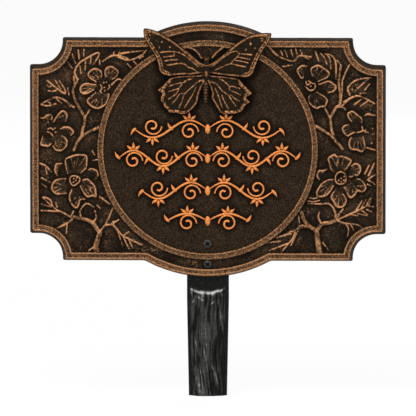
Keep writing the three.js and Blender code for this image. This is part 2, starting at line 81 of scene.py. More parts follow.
def nearest(x, y, route):
    # distance to a route, and the share of its length at which the closest place lies
    best, place, run = np.full(len(x), 1e9), np.zeros(len(x)), 0
    for a, b in zip(route[:-1], route[1:]):
        d = b - a
        length = max(float(np.hypot(*d)), 1e-6)
        t = np.clip(((x - a[0]) * d[0] + (y - a[1]) * d[1]) / length**2, 0, 1)
        gap = np.hypot(x - a[0] - t * d[0], y - a[1] - t * d[1])
        closer = gap < best
        best = np.where(closer, gap, best)
        place = np.where(closer, run + t * length, place)
        run += length
    return best, place / run


def newRelief(x):
    return dict(height=np.zeros(len(x)), shine=np.zeros(len(x)))


def withinBox(x, y, low, high):
    return np.nonzero((x > low[0]) & (x < high[0]) & (y > low[1]) & (y < high[1]))[0]


def addStroke(relief, x, y, points, startHalf, endHalf, rise, shine, hollow=0.0, taper=0.0):
    # a rounded ridge along a route, raised on top of what is there, with a bright crest or two bright edges
    route = smoothRoute(points)
    reach = max(startHalf, endHalf)
    near = withinBox(x, y, route.min(0) - reach, route.max(0) + reach)
    gap, share = nearest(x[near], y[near], route)
    half = (startHalf + (endHalf - startHalf) * share) * (1 - taper * (2 * share - 1) ** 2)
    edge = gap / half
    swell = np.clip(1 - edge**2, 0, 1) ** 0.75 * rise * (half / reach) ** 0.5
    dark = hollow * smooth((0.7 - edge) / 0.6)
    brightened = shine * smooth((1.02 - edge) / 0.7) * (1 - dark) * (half / reach) ** 0.6
    relief["height"][near] = np.maximum(relief["height"][near], swell)
    relief["shine"][near] = np.maximum(relief["shine"][near], brightened)


def softened(grid, cells):
    # three box blurs of a grid, close to a round blur that many cells wide
    for axis in (0, 1, 0, 1, 0, 1):
        pad = [(0, 0), (0, 0)]
        pad[axis] = (cells + 1, cells)
        total = np.cumsum(np.pad(grid, pad, mode="edge"), axis=axis)
        size = grid.shape[axis]
        ahead = np.take(total, range(2 * cells + 1, 2 * cells + 1 + size), axis=axis)
        behind = np.take(total, range(size), axis=axis)
        grid = (ahead - behind) / (2 * cells + 1)
    return grid


# Shells are points, faces and a tone for each point. The tone runs from -1 in the hollows to 1 on the crests
# that a hand rubs bright, and also carries painted shade, painted shadow and painted highlights.

def loftShell(loops, rubAndPaintedLight, closed=True):
    loops = np.asarray(loops, float)
    rows, count = loops.shape[:2]
    index = np.arange(rows * count).reshape(rows, count)
    ahead = np.roll(index, -1, axis=1)
    quads = np.stack([index[:-1], ahead[:-1], ahead[1:], index[1:]], axis=-1).reshape(-1, 4).tolist()
    if closed:
        quads += [index[0].tolist(), index[-1].tolist()]
    shade = np.asarray(rubAndPaintedLight, float)
    if shade.ndim == 1:  # one value for each whole loop
        shade = np.repeat(shade, count)
    return loops.reshape(-1, 3), quads, shade.reshape(-1)


def circle(radius, z, sides, x=0.0, y=0.0):
    turn = np.linspace(0, 2 * math.pi, sides, endpoint=False)
    return np.column_stack([x + radius * np.cos(turn), y + radius * np.sin(turn), np.broadcast_to(z, sides)])


def closedTurn(shell, sides):
    # joins the last ring of a turned shell to its first
    points, faces, rubAndPaintedLight = shell
    last = len(points) - sides
    return points[:last], [[i % last for i in face] for face in faces], rubAndPaintedLight[:last]


def ridgeShell(route, halves, base, crests, rubAndPaintedLight=1.0):
    # a bevelled stroke of geometry along a route
    route, halves, crests = np.asarray(route, float), np.asarray(halves, float), np.asarray(crests, float)
    along = np.gradient(route, axis=0)
    along /= np.linalg.norm(along, axis=1)[:, None]
    across = np.column_stack([-along[:, 1], along[:, 0]])
    # each flank is left darker than the crest: less rubbed on bronze, painted shade on the copper enamel
    flank = [(-1, 0, -0.5), (-0.93, 0.6, -0.3), (-0.62, 0.93, 0)]  # across, up, and how much is left dull
    section = flank + [(0, 1, 0)] + [(-side, lift, dull) for side, lift, dull in flank[::-1]]
    loops, shades = [], []
    for side, lift, dull in section:
        flat = route + across * (halves * side)[:, None]
        loops.append(np.column_stack([flat, base + (crests - base) * lift]))
        shades.append(np.broadcast_to(rubAndPaintedLight + dull, len(route)))
    return loftShell(np.stack(loops, axis=1), np.stack(shades, axis=1))


def wholeCells(inside):
    # the grid cells whose four corners are all inside
    return inside[:-1, :-1] & inside[1:, :-1] & inside[1:, 1:] & inside[:-1, 1:]


def slabShell(x, y, inside, height, base, rubAndPaintedLight):
    # a closed slab over the grid cells that are inside, with the height map on top
    columns, rows = x.shape
    index = np.full(x.shape, -1)
    used = np.zeros(x.shape, bool)
    for a, b in ((0, 0), (1, 0), (1, 1), (0, 1)):
        used[a:columns - 1 + a, b:rows - 1 + b] |= inside
    index[used] = np.arange(used.sum())
    corners = [index[:-1, :-1], index[1:, :-1], index[1:, 1:], index[:-1, 1:]]
    faces = np.stack([c[inside] for c in corners], axis=-1).tolist()
    padded = np.pad(inside, 1)
    follow = {}  # each corner on the border leads to the next
    for (da, db), (p, q) in {(0, -1): (0, 1), (1, 0): (1, 2), (0, 1): (2, 3), (-1, 0): (3, 0)}.items():
        border = inside & ~padded[1 + da:columns + da, 1 + db:rows + db]
        follow.update(zip(corners[p][border].tolist(), corners[q][border].tolist()))
    top = np.column_stack([x[used], y[used], height[used]])
    points, shade, count = [top], [rubAndPaintedLight[used]], len(top)
    while follow:
        start = next(iter(follow))
        loop = [start]
        while follow[loop[-1]] != start:
            loop.append(follow.pop(loop[-1]))
        follow.pop(loop[-1])
        below = list(range(count, count + len(loop)))
        points.append(np.column_stack([top[loop, :2], np.full(len(loop), base)]))
        shade.append(np.full(len(loop), -1.0))
        for a, b, aLow, bLow in zip(loop, loop[1:] + loop[:1], below, below[1:] + below[:1]):
            faces.append([aLow, bLow, b, a])
        faces.append(below[::-1])
        count += len(loop)
    return np.vstack(points), faces, np.concatenate(shade)


def gather(shells):
    points, faces, rubAndPaintedLight, count = [], [], [], 0
    for shellPoints, shellFaces, shellRub in shells:
        points.append(shellPoints)
        faces += [[i + count for i in face] for face in shellFaces]
        rubAndPaintedLight.append(shellRub)
        count += len(shellPoints)
    return np.vstack(points), faces, np.concatenate(rubAndPaintedLight)


def makePiece(name, shells, finish, node, up=plateUp, crease=50):
    points, faces, rubAndPaintedLight = gather(shells)
    world = np.column_stack([points[:, 0], -points[:, 2], points[:, 1] + up]) / 1000
    mesh = bpy.data.meshes.new(name)
    mesh.from_pydata(world.tolist(), [], faces)
    solid = bmesh.new()
    solid.from_mesh(mesh)
    bmesh.ops.recalc_face_normals(solid, faces=solid.faces)
    solid.to_mesh(mesh)
    solid.free()
    mesh.attributes.new("rubAndPaintedLight", "FLOAT", "POINT").data.foreach_set("value", rubAndPaintedLight.astype(np.float32))
    mesh.materials.append(finish)
    mesh.shade_smooth()
    mesh.set_sharp_from_angle(angle=math.radians(crease))
    piece = bpy.data.objects.new(name, mesh)
    bpy.context.scene.collection.objects.link(piece)
    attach(piece, "root")
    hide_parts(node)
    triangles = sum(len(face) - 2 for face in faces)
    print(f"{name}: {triangles} triangles")


# Materials

def toLinear(hexCode):
    shades = [int(hexCode[i:i + 2], 16) / 255 for i in (1, 3, 5)]
    return [s / 12.92 if s <= 0.04045 else ((s + 0.055) / 1.055) ** 2.4 for s in shades] + [1]


def addNode(tree, kind, inputs=None, stops=None, **settings):
    node = tree.nodes.new("ShaderNode" + kind)
    for key, value in settings.items():
        setattr(node, key, value)
    for key, value in (inputs or {}).items():
        if isinstance(value, bpy.types.NodeSocket):
            tree.links.new(value, node.inputs[key])
        else:
            node.inputs[key].default_value = value
    for i, (place, hexCode) in enumerate(stops or []):
        ramp = node.color_ramp.elements
        stop = ramp[i] if i < len(ramp) else ramp.new(place)
        stop.position = place
        stop.color = toLinear(hexCode)
    return node


def newMaterial(name):
    material = bpy.data.materials.new(name)
    material.use_nodes = True
    material.node_tree.nodes.clear()
    return material, material.node_tree


def castPattern(tree, millimetres, detail):
    # a cloudy pattern whose patches lie about this far apart
    place = addNode(tree, "TexCoord").outputs["Object"]
    scale = 1000 / millimetres
    return addNode(tree, "TexNoise", {"Vector": place, "Scale": scale, "Detail": detail}).outputs["Fac"]


def mapped(tree, value, low, high, toLow, toHigh):
    return addNode(tree, "MapRange", {
        "Value": value, "From Min": low, "From Max": high, "To Min": toLow, "To Max": toHigh}).outputs[0]


def strayed(tree, pattern, amount):
    # a pattern, which lies mostly between 0.3 and 0.7, spread this far to either side of nothing
    return mapped(tree, pattern, 0.3, 0.7, -amount, amount)


def reckoned(tree, operation, first, second):
    return addNode(tree, "Math", {0: first, 1: second}, operation=operation).outputs[0]


def finished(tree, colour, surface, bumps, strength, depth):
    # the shader with its bumps, and the output
    bump = addNode(tree, "Bump", {"Height": bumps, "Strength": strength, "Distance": depth / 1000})
    shader = addNode(tree, "BsdfPrincipled", {
        "Base Color": colour.outputs["Color"], "Normal": bump.outputs["Normal"], **surface})
    addNode(tree, "OutputMaterial", {"Surface": shader.outputs["BSDF"]})


# Cast aluminium under dark bronze paint, with copper rubbed over the crests by hand: bright warm edges,
# speckled copper where the pad skipped over the grain, and near-black hollows that also carry painted shade.
def rubbedBronze(name, look):
    material, tree = newMaterial(name)
    rubAndPaintedLight = addNode(tree, "Attribute", attribute_name="rubAndPaintedLight").outputs["Fac"]
    skipped = strayed(tree, castPattern(tree, look["speckleMm"], 2), look["speckle"])
    uneven = strayed(tree, castPattern(tree, look["mottleMm"], 3), look["mottle"])
    depth = mapped(tree, rubAndPaintedLight, -0.3, 0.4, look["groundSpeckle"], 1)
    broken = reckoned(tree, "ADD", rubAndPaintedLight, reckoned(tree, "MULTIPLY", skipped, depth))
    tone = mapped(tree, reckoned(tree, "ADD", broken, uneven), -1, 1, 0, 1)
    colour = addNode(tree, "ValToRGB", {"Fac": tone}, stops=look["stops"])
    surface = {
        "Roughness": mapped(tree, tone, 0.45, 0.85, look["dullRough"], look["rubRough"]),
        "Metallic": mapped(tree, tone, 0.5, 0.8, look["dullMetal"], look["rubMetal"]),
        "Specular IOR Level": look["specular"]}
    finished(tree, colour, surface, castPattern(tree, look["gritMm"], 2), look["grit"], look["gritDepth"])
    return material


plateLook = dict(
    stops=[(0.15, "#0a0704"), (0.38, "#181109"), (0.48, "#2a2017"), (0.58, "#413021"), (0.75, "#7c593c"),
           (0.95, "#ae7c57")],
    speckleMm=1.35, speckle=0.36, groundSpeckle=0.6, mottleMm=8, mottle=0.05,
    gritMm=0.9, grit=0.3, gritDepth=0.4,  # grit drawn coarser than the sand
    dullRough=0.66, rubRough=0.46, dullMetal=0.05, rubMetal=0.45, specular=0.035)
butterflyLook = dict(
    plateLook,
    stops=[(0.15, "#0a0704"), (0.42, "#20180f"), (0.52, "#2d2116"), (0.62, "#4a3522"), (0.75, "#775236"),
           (0.95, "#a8764e")])
bronzePlate = rubbedBronze("cast_aluminium_rubbed_bronze", plateLook)
bronzeButterfly = rubbedBronze("cast_aluminium_rubbed_copper", butterflyLook)


# Copper enamel brushed over the raised ornament: an even bright coat with faint drag marks, and edges painted
# darker as shade.
def brushedCopper(name, look):
    material, tree = newMaterial(name)
    rubAndPaintedLight = addNode(tree, "Attribute", attribute_name="rubAndPaintedLight").outputs["Fac"]
    drag = castPattern(tree, look["dragMm"], 3)
    tone = reckoned(tree, "ADD", rubAndPaintedLight, strayed(tree, drag, look["drag"]))
    colour = addNode(tree, "ValToRGB", {"Fac": tone}, stops=look["stops"])
    surface = {"Roughness": look["rough"], "Metallic": look["metal"], "Specular IOR Level": look["specular"]}
    finished(tree, colour, surface, drag, look["ridges"], look["ridgeDepth"])
    return material


ornamentLook = dict(
    stops=[(0.1, "#4a2712"), (0.5, "#b06630"), (0.85, "#d6843f")], dragMm=1.8, drag=0.25,
    ridges=0.2, ridgeDepth=0.3, rough=0.42, metal=0.25, specular=0.3)
copperEnamel = brushedCopper("copper_enamel_brushed", ornamentLook)


# Black enamel sprayed over a rough casting: satin, with patchy dust, a painted grey highlight on the crests
# and painted shade in the hollows.
def sprayedEnamel(name, look):
    material, tree = newMaterial(name)
    rubAndPaintedLight = addNode(tree, "Attribute", attribute_name="rubAndPaintedLight").outputs["Fac"]
    dusty = strayed(tree, castPattern(tree, look["dustMm"], 4), look["dust"])
    tone = mapped(tree, reckoned(tree, "ADD", rubAndPaintedLight, dusty), -1, 1, 0, 1)
    colour = addNode(tree, "ValToRGB", {"Fac": tone}, stops=look["stops"])
    surface = {
        "Roughness": mapped(tree, tone, 0, 1, look["dullRough"], look["rubRough"]),
        "Specular IOR Level": look["specular"]}
    finished(tree, colour, surface, castPattern(tree, look["peelMm"], 1), look["peel"], look["peelDepth"])
    return material


# the lightest stops are the painted highlight on the bark's crests and the shoulder's lip
stakeLook = dict(
    stops=[(0.2, "#080807"), (0.5, "#131312"), (0.7, "#3d3e3b"), (1.0, "#c4c4c0")], dustMm=3.5, dust=0.1,
    peelMm=1.4, peel=0.15, peelDepth=0.4, dullRough=0.5, rubRough=0.34, specular=0.05)
blackEnamel = sprayedEnamel("black_enamel_sprayed_casting", stakeLook)


# Zinc-plated steel: fine turning marks, a cloudy plating, and painted shade in the hollows.
def platedZinc(name, look):
    material, tree = newMaterial(name)
    rubAndPaintedLight = addNode(tree, "Attribute", attribute_name="rubAndPaintedLight").outputs["Fac"]
    cloud = castPattern(tree, look["cloudMm"], 3)
    colour = addNode(tree, "ValToRGB", {"Fac": reckoned(tree, "ADD", cloud, rubAndPaintedLight)}, stops=look["stops"])
    surface = {
        "Roughness": mapped(tree, cloud, 0, 1, look["rough"] - 0.1, look["rough"] + 0.12),
        "Metallic": look["metal"], "Specular IOR Level": look["specular"]}
    finished(tree, colour, surface, castPattern(tree, look["markMm"], 2), look["marks"], look["markDepth"])
    return material


zincLook = dict(cloudMm=2.5, markMm=0.6, marks=0.12, markDepth=0.2)
darkZinc = platedZinc("black_zinc_plated_steel", dict(
    zincLook, stops=[(0.05, "#040404"), (0.3, "#302f2b"), (0.7, "#46443f")],
    rough=0.5, metal=0.3, specular=0.1))
brightZinc = platedZinc("bright_zinc_plated_steel", dict(
    zincLook, stops=[(0.05, "#4a4c4f"), (0.3, "#83868a"), (0.7, "#a9adb0")],
    rough=0.34, metal=1.0, specular=0.5))
print("materials ready")


# Plate

plate = dict(
    width=368, height=232, archRise=17, scallopRadius=24.5, sideStep=9.5, topStep=3.5, pocketDepth=3,
    pocketLand=12, draft=2.6, rimInner=9.6, rimHeight=9.5, bandHeight=8.9, easeRadius=0.55,
    wobble=0.16, grain=0.1,
    scallopDrafts=(1.3, 0.6),  # how far the front of the upper and the lower scallops is drawn in
    # below the centre the outer bead is painted darker and the inner bead lighter: painted light from above
    gains=(0.44, 0.34), paintedLightBelow=(-0.04, 0.22),  # shine of the outer and inner bead, and more below
    lowerFrom=88, lowerEase=14, lowerShift=0.5,  # this far below the centre the front of the rim leans down
    wrapFrom=107, wrapEase=5, wrap=5,  # further down, the copper runs on over the edge
    dullFrom=62, dullEase=10, dull=0.08,  # the lower straights, out from the arch, keep a darker band
    pocketRub=0.35)  # shine of the pocket's edge
ring = dict(inner=107.1, outer=114.5, height=9.2, band=8.6, sides=420, grain=0.12, gains=(0.38, 0.2))
bead = dict(middle=1.05, half=0.75, band=0.36, wall=-0.12)  # the bright line on a moulding's edge
footDepth = 1.2  # how far mouldings and slabs reach below the field
archRadius = plate["height"] / 2 + plate["archRise"]


def plateQuarter(inset, scallopDraft):
    # a quarter of the outline drawn in by an inset; an edge that runs into the scallop cuts it short
    p = plate
    scallop = p["scallopRadius"] + inset + scallopDraft * float(smooth(inset / p["draft"]))
    centre = np.array([p["width"] / 2 - p["sideStep"], p["height"] / 2 - p["topStep"]])
    leastStep = 0.1
    start = 1.5 * math.pi - math.asin(max(inset + leastStep - p["sideStep"], 0) / scallop)
    end = math.pi + math.asin(max(inset + leastStep - p["topStep"], 0) / scallop)
    turn = np.linspace(start, end, 34)
    bow = centre + scallop * np.column_stack([np.cos(turn), np.sin(turn)])
    top, side = p["height"] / 2 - inset, p["width"] / 2 - inset
    arch = archRadius - inset
    sweep = np.linspace(math.asin(top / arch), math.pi / 2, 46)
    runs = [
        np.linspace((side, 0), (side, bow[0, 1]), 50)[:-1],
        np.linspace((side, bow[0, 1]), bow[0], 6)[:-1],
        bow,
        np.linspace(bow[-1], (bow[-1, 0], top), 4)[1:],
        np.linspace((bow[-1, 0], top), (arch * math.cos(sweep[0]), top), 52)[1:-1],
        arch * np.column_stack([np.cos(sweep), np.sin(sweep)]),
    ]
    return np.vstack(runs)


def plateLoop(inset):
    upper, lower = (plateQuarter(inset, draft) for draft in plate["scallopDrafts"])
    loop = np.vstack([upper, upper[-2:0:-1] * (-1, 1), -lower, lower[-2:0:-1] * (1, -1)])
    for _ in range(2):  # takes the sharpness off the corners
        loop = (np.roll(loop, 1, axis=0) + 2 * loop + np.roll(loop, -1, axis=0)) / 4
    return loop


def eased(corners, radius, steps=4, spacing=1.1):
    # a section with its corners rounded off
    corners = np.asarray(corners, float)
    line = [corners[0]]
    for a, b, c in zip(corners, corners[1:], corners[2:]):
        reach = min(radius, np.linalg.norm(a - b) / 2.1, np.linalg.norm(c - b) / 2.1)
        start = b + (a - b) / np.linalg.norm(a - b) * reach
        end = b + (c - b) / np.linalg.norm(c - b) * reach
        for t in np.linspace(0, 1, steps):
            line.append(start * (1 - t) ** 2 + b * 2 * t * (1 - t) + end * t**2)
    line = np.array(line + [corners[-1]])
    spaced = [line[:1]]
    for a, b in zip(line, line[1:]):
        count = math.ceil(float(np.linalg.norm(b - a)) / spacing)
        spaced.append(np.linspace(a, b, count + 1)[1:])
    return np.vstack(spaced)


def beadTone(inset, height, first, last, top, gains, wrap=0.0, band=bead["band"]):
    # both beads are rubbed bright, the band between them is left speckled, and the walls stay dark
    # but for the height by which the copper wraps over the outer edge
    toFirst, toLast = inset - first, last - inset
    crests = 0
    for gap, gain in zip((toFirst, toLast), gains):
        crests = crests + gain * np.exp(-(((gap - bead["middle"]) / bead["half"]) ** 2))
    high = smooth((height - top + 1 + wrap) / 0.4)
    between = smooth((np.minimum(toFirst + wrap / 3, toLast) + 0.1) / 0.55)
    return bead["wall"] + high * between * (band + crests)


def plateBody():
    p = plate
    meanReach = 150  # from the centre to the rim
    land, deep, rim, band = p["pocketLand"], p["pocketDepth"], p["rimHeight"], p["bandHeight"]
    start, end = p["draft"], p["rimInner"]
    # from the pocket's floor round the back edge, up the wall and over both beads, as inset and height
    section = eased([
        (land + 6, deep), (land + 0.6, deep), (land, 0), (0, 0),
        (start - 0.1, rim - 0.45), (start + 0.45, rim), (start + 1.35, rim), (start + 2.2, band),
        (end - 2.3, band), (end - 1.5, rim), (end - 0.5, rim), (end, rim - 0.4),
        (end + 0.6, fieldHeight - 1.5)], p["easeRadius"])
    loops, rubsAndPaintedLight = [], []
    for inset, height in section:
        loop = plateLoop(inset)
        x, y = loop.T
        tall = smooth(height / rim)
        lower = smooth((-y - p["lowerFrom"]) / p["lowerEase"])
        wrapped = smooth((-y - p["wrapFrom"]) / p["wrapEase"])
        dull = p["dull"] * lower * smooth((np.abs(x) - p["dullFrom"]) / p["dullEase"])
        lift = castNoise(x, y, 1.7, seed=4) * p["grain"] + castNoise(x, y, 6, seed=5) * p["grain"]
        drift = castNoise(x, y, 9, seed=3) * p["wobble"]
        loop = loop * (1 - drift[:, None] / meanReach)
        loop[:, 1] -= p["lowerShift"] * lower * tall
        loops.append(np.column_stack([loop, height + lift * tall]))
        # painted light from above on the lower rim: the outer bead darker, the inner bead lighter
        outer, inner = (gain + added * lower for gain, added in zip(p["gains"], p["paintedLightBelow"]))
        gains = (outer + 1.2 * dull, inner + dull)
        pocketEdge = p["pocketRub"] * math.exp(-((height / 0.6) ** 2) - ((inset - land) / 0.9) ** 2)
        rubAndPaintedLight = beadTone(inset, height, start, end, rim, gains, p["wrap"] * wrapped, bead["band"] - dull)
        rubsAndPaintedLight.append(rubAndPaintedLight + pocketEdge)
    return loftShell(loops, rubsAndPaintedLight)


# the raised pad in the pocket that the stake's tab bears on
tabSeat = dict(halfWidth=25.6, low=-122, high=-81.7, corner=5, rubAndPaintedLight=-0.2)


def stakeSeat():
    s = tabSeat
    across, low, high = s["halfWidth"] - s["corner"], s["low"] + s["corner"], s["high"] - s["corner"]
    section = [(-1.2, plate["pocketDepth"] + 0.5), (-0.4, 1.5), (0, 0.4), (0.4, 0.03), (1.5, 0.03)]
    loops = []
    for inset, height in section:
        reach = s["corner"] - inset
        loop = []
        for x, y, start in ((across, high, 0), (-across, high, 90), (-across, low, 180), (across, low, 270)):
            for degrees in np.linspace(start, start + 90, 8):
                turn = math.radians(degrees)
                loop.append((x + reach * math.cos(turn), y + reach * math.sin(turn), height))
        loops.append(loop)
    return loftShell(loops, [s["rubAndPaintedLight"]] * len(loops))


makePiece("plate_body", [plateBody(), stakeSeat()], bronzePlate, "plaque_plate", crease=38)


def roundMoulding():
    r = ring
    inner, outer, base = r["inner"], r["outer"], fieldHeight - footDepth
    section = eased([
        (inner, base), (inner + 0.7, r["height"]), (inner + 2.4, r["height"]), (inner + 3, r["band"]),
        (outer - 3, r["band"]), (outer - 2.4, r["height"]), (outer - 0.7, r["height"]), (outer, base)], 0.5)
    loops, rubsAndPaintedLight = [], []
    for radius, height in section:
        loop = circle(radius, height, r["sides"])
        x, y = loop[:, :2].T
        lift = castNoise(x, y, 1.7, seed=14) * r["grain"] + castNoise(x, y, 6, seed=15) * r["grain"]
        loop[:, 2] += lift * smooth((height - base) / 2)
        loops.append(loop)
        rubsAndPaintedLight.append(beadTone(radius, height, inner + 0.3, outer - 0.3, r["height"], r["gains"]))
    shell = loftShell(loops + loops[:1], rubsAndPaintedLight + rubsAndPaintedLight[:1], closed=False)
    return closedTurn(shell, r["sides"])


makePiece("round_moulding", [roundMoulding()], bronzePlate, "plaque_plate")

# Branches and blossoms. Routes are read in the reference picture, which is 416 pixels square,
# and onPlate() lays them out in millimetres.
sheetCentre = (207.6, 149.6)
sheetAxes = np.array([[1.0316, 0.0045], [0, -1.039]])  # millimetres for one step right and one step down
weights = dict(  # half width at the start and the end, rise, brightness, and how far the crest stays dark
    veins=(1.1, 0.9, 1.3, 0.85, 0), twigs=(1.35, 1.1, 1.6, 0.92, 0), stems=(2.0, 1.6, 1.9, 0.92, 0.3),
    arms=(2.7, 2.2, 2.2, 0.92, 0.4), trunks=(3.1, 3.7, 2.4, 0.92, 0.45),
    petalEdges=(1.25, 1.25, 2.3, 1.15, 0), folds=(0.56, 0.8, 1.2, 0.5, 0), creases=(0.85, 0.85, 1.5, 0.6, 0),
    stamens=(1.05, 1.05, 2.5, 1.05, 0), beads=(1.1, 1.1, 2.5, 1, 0))

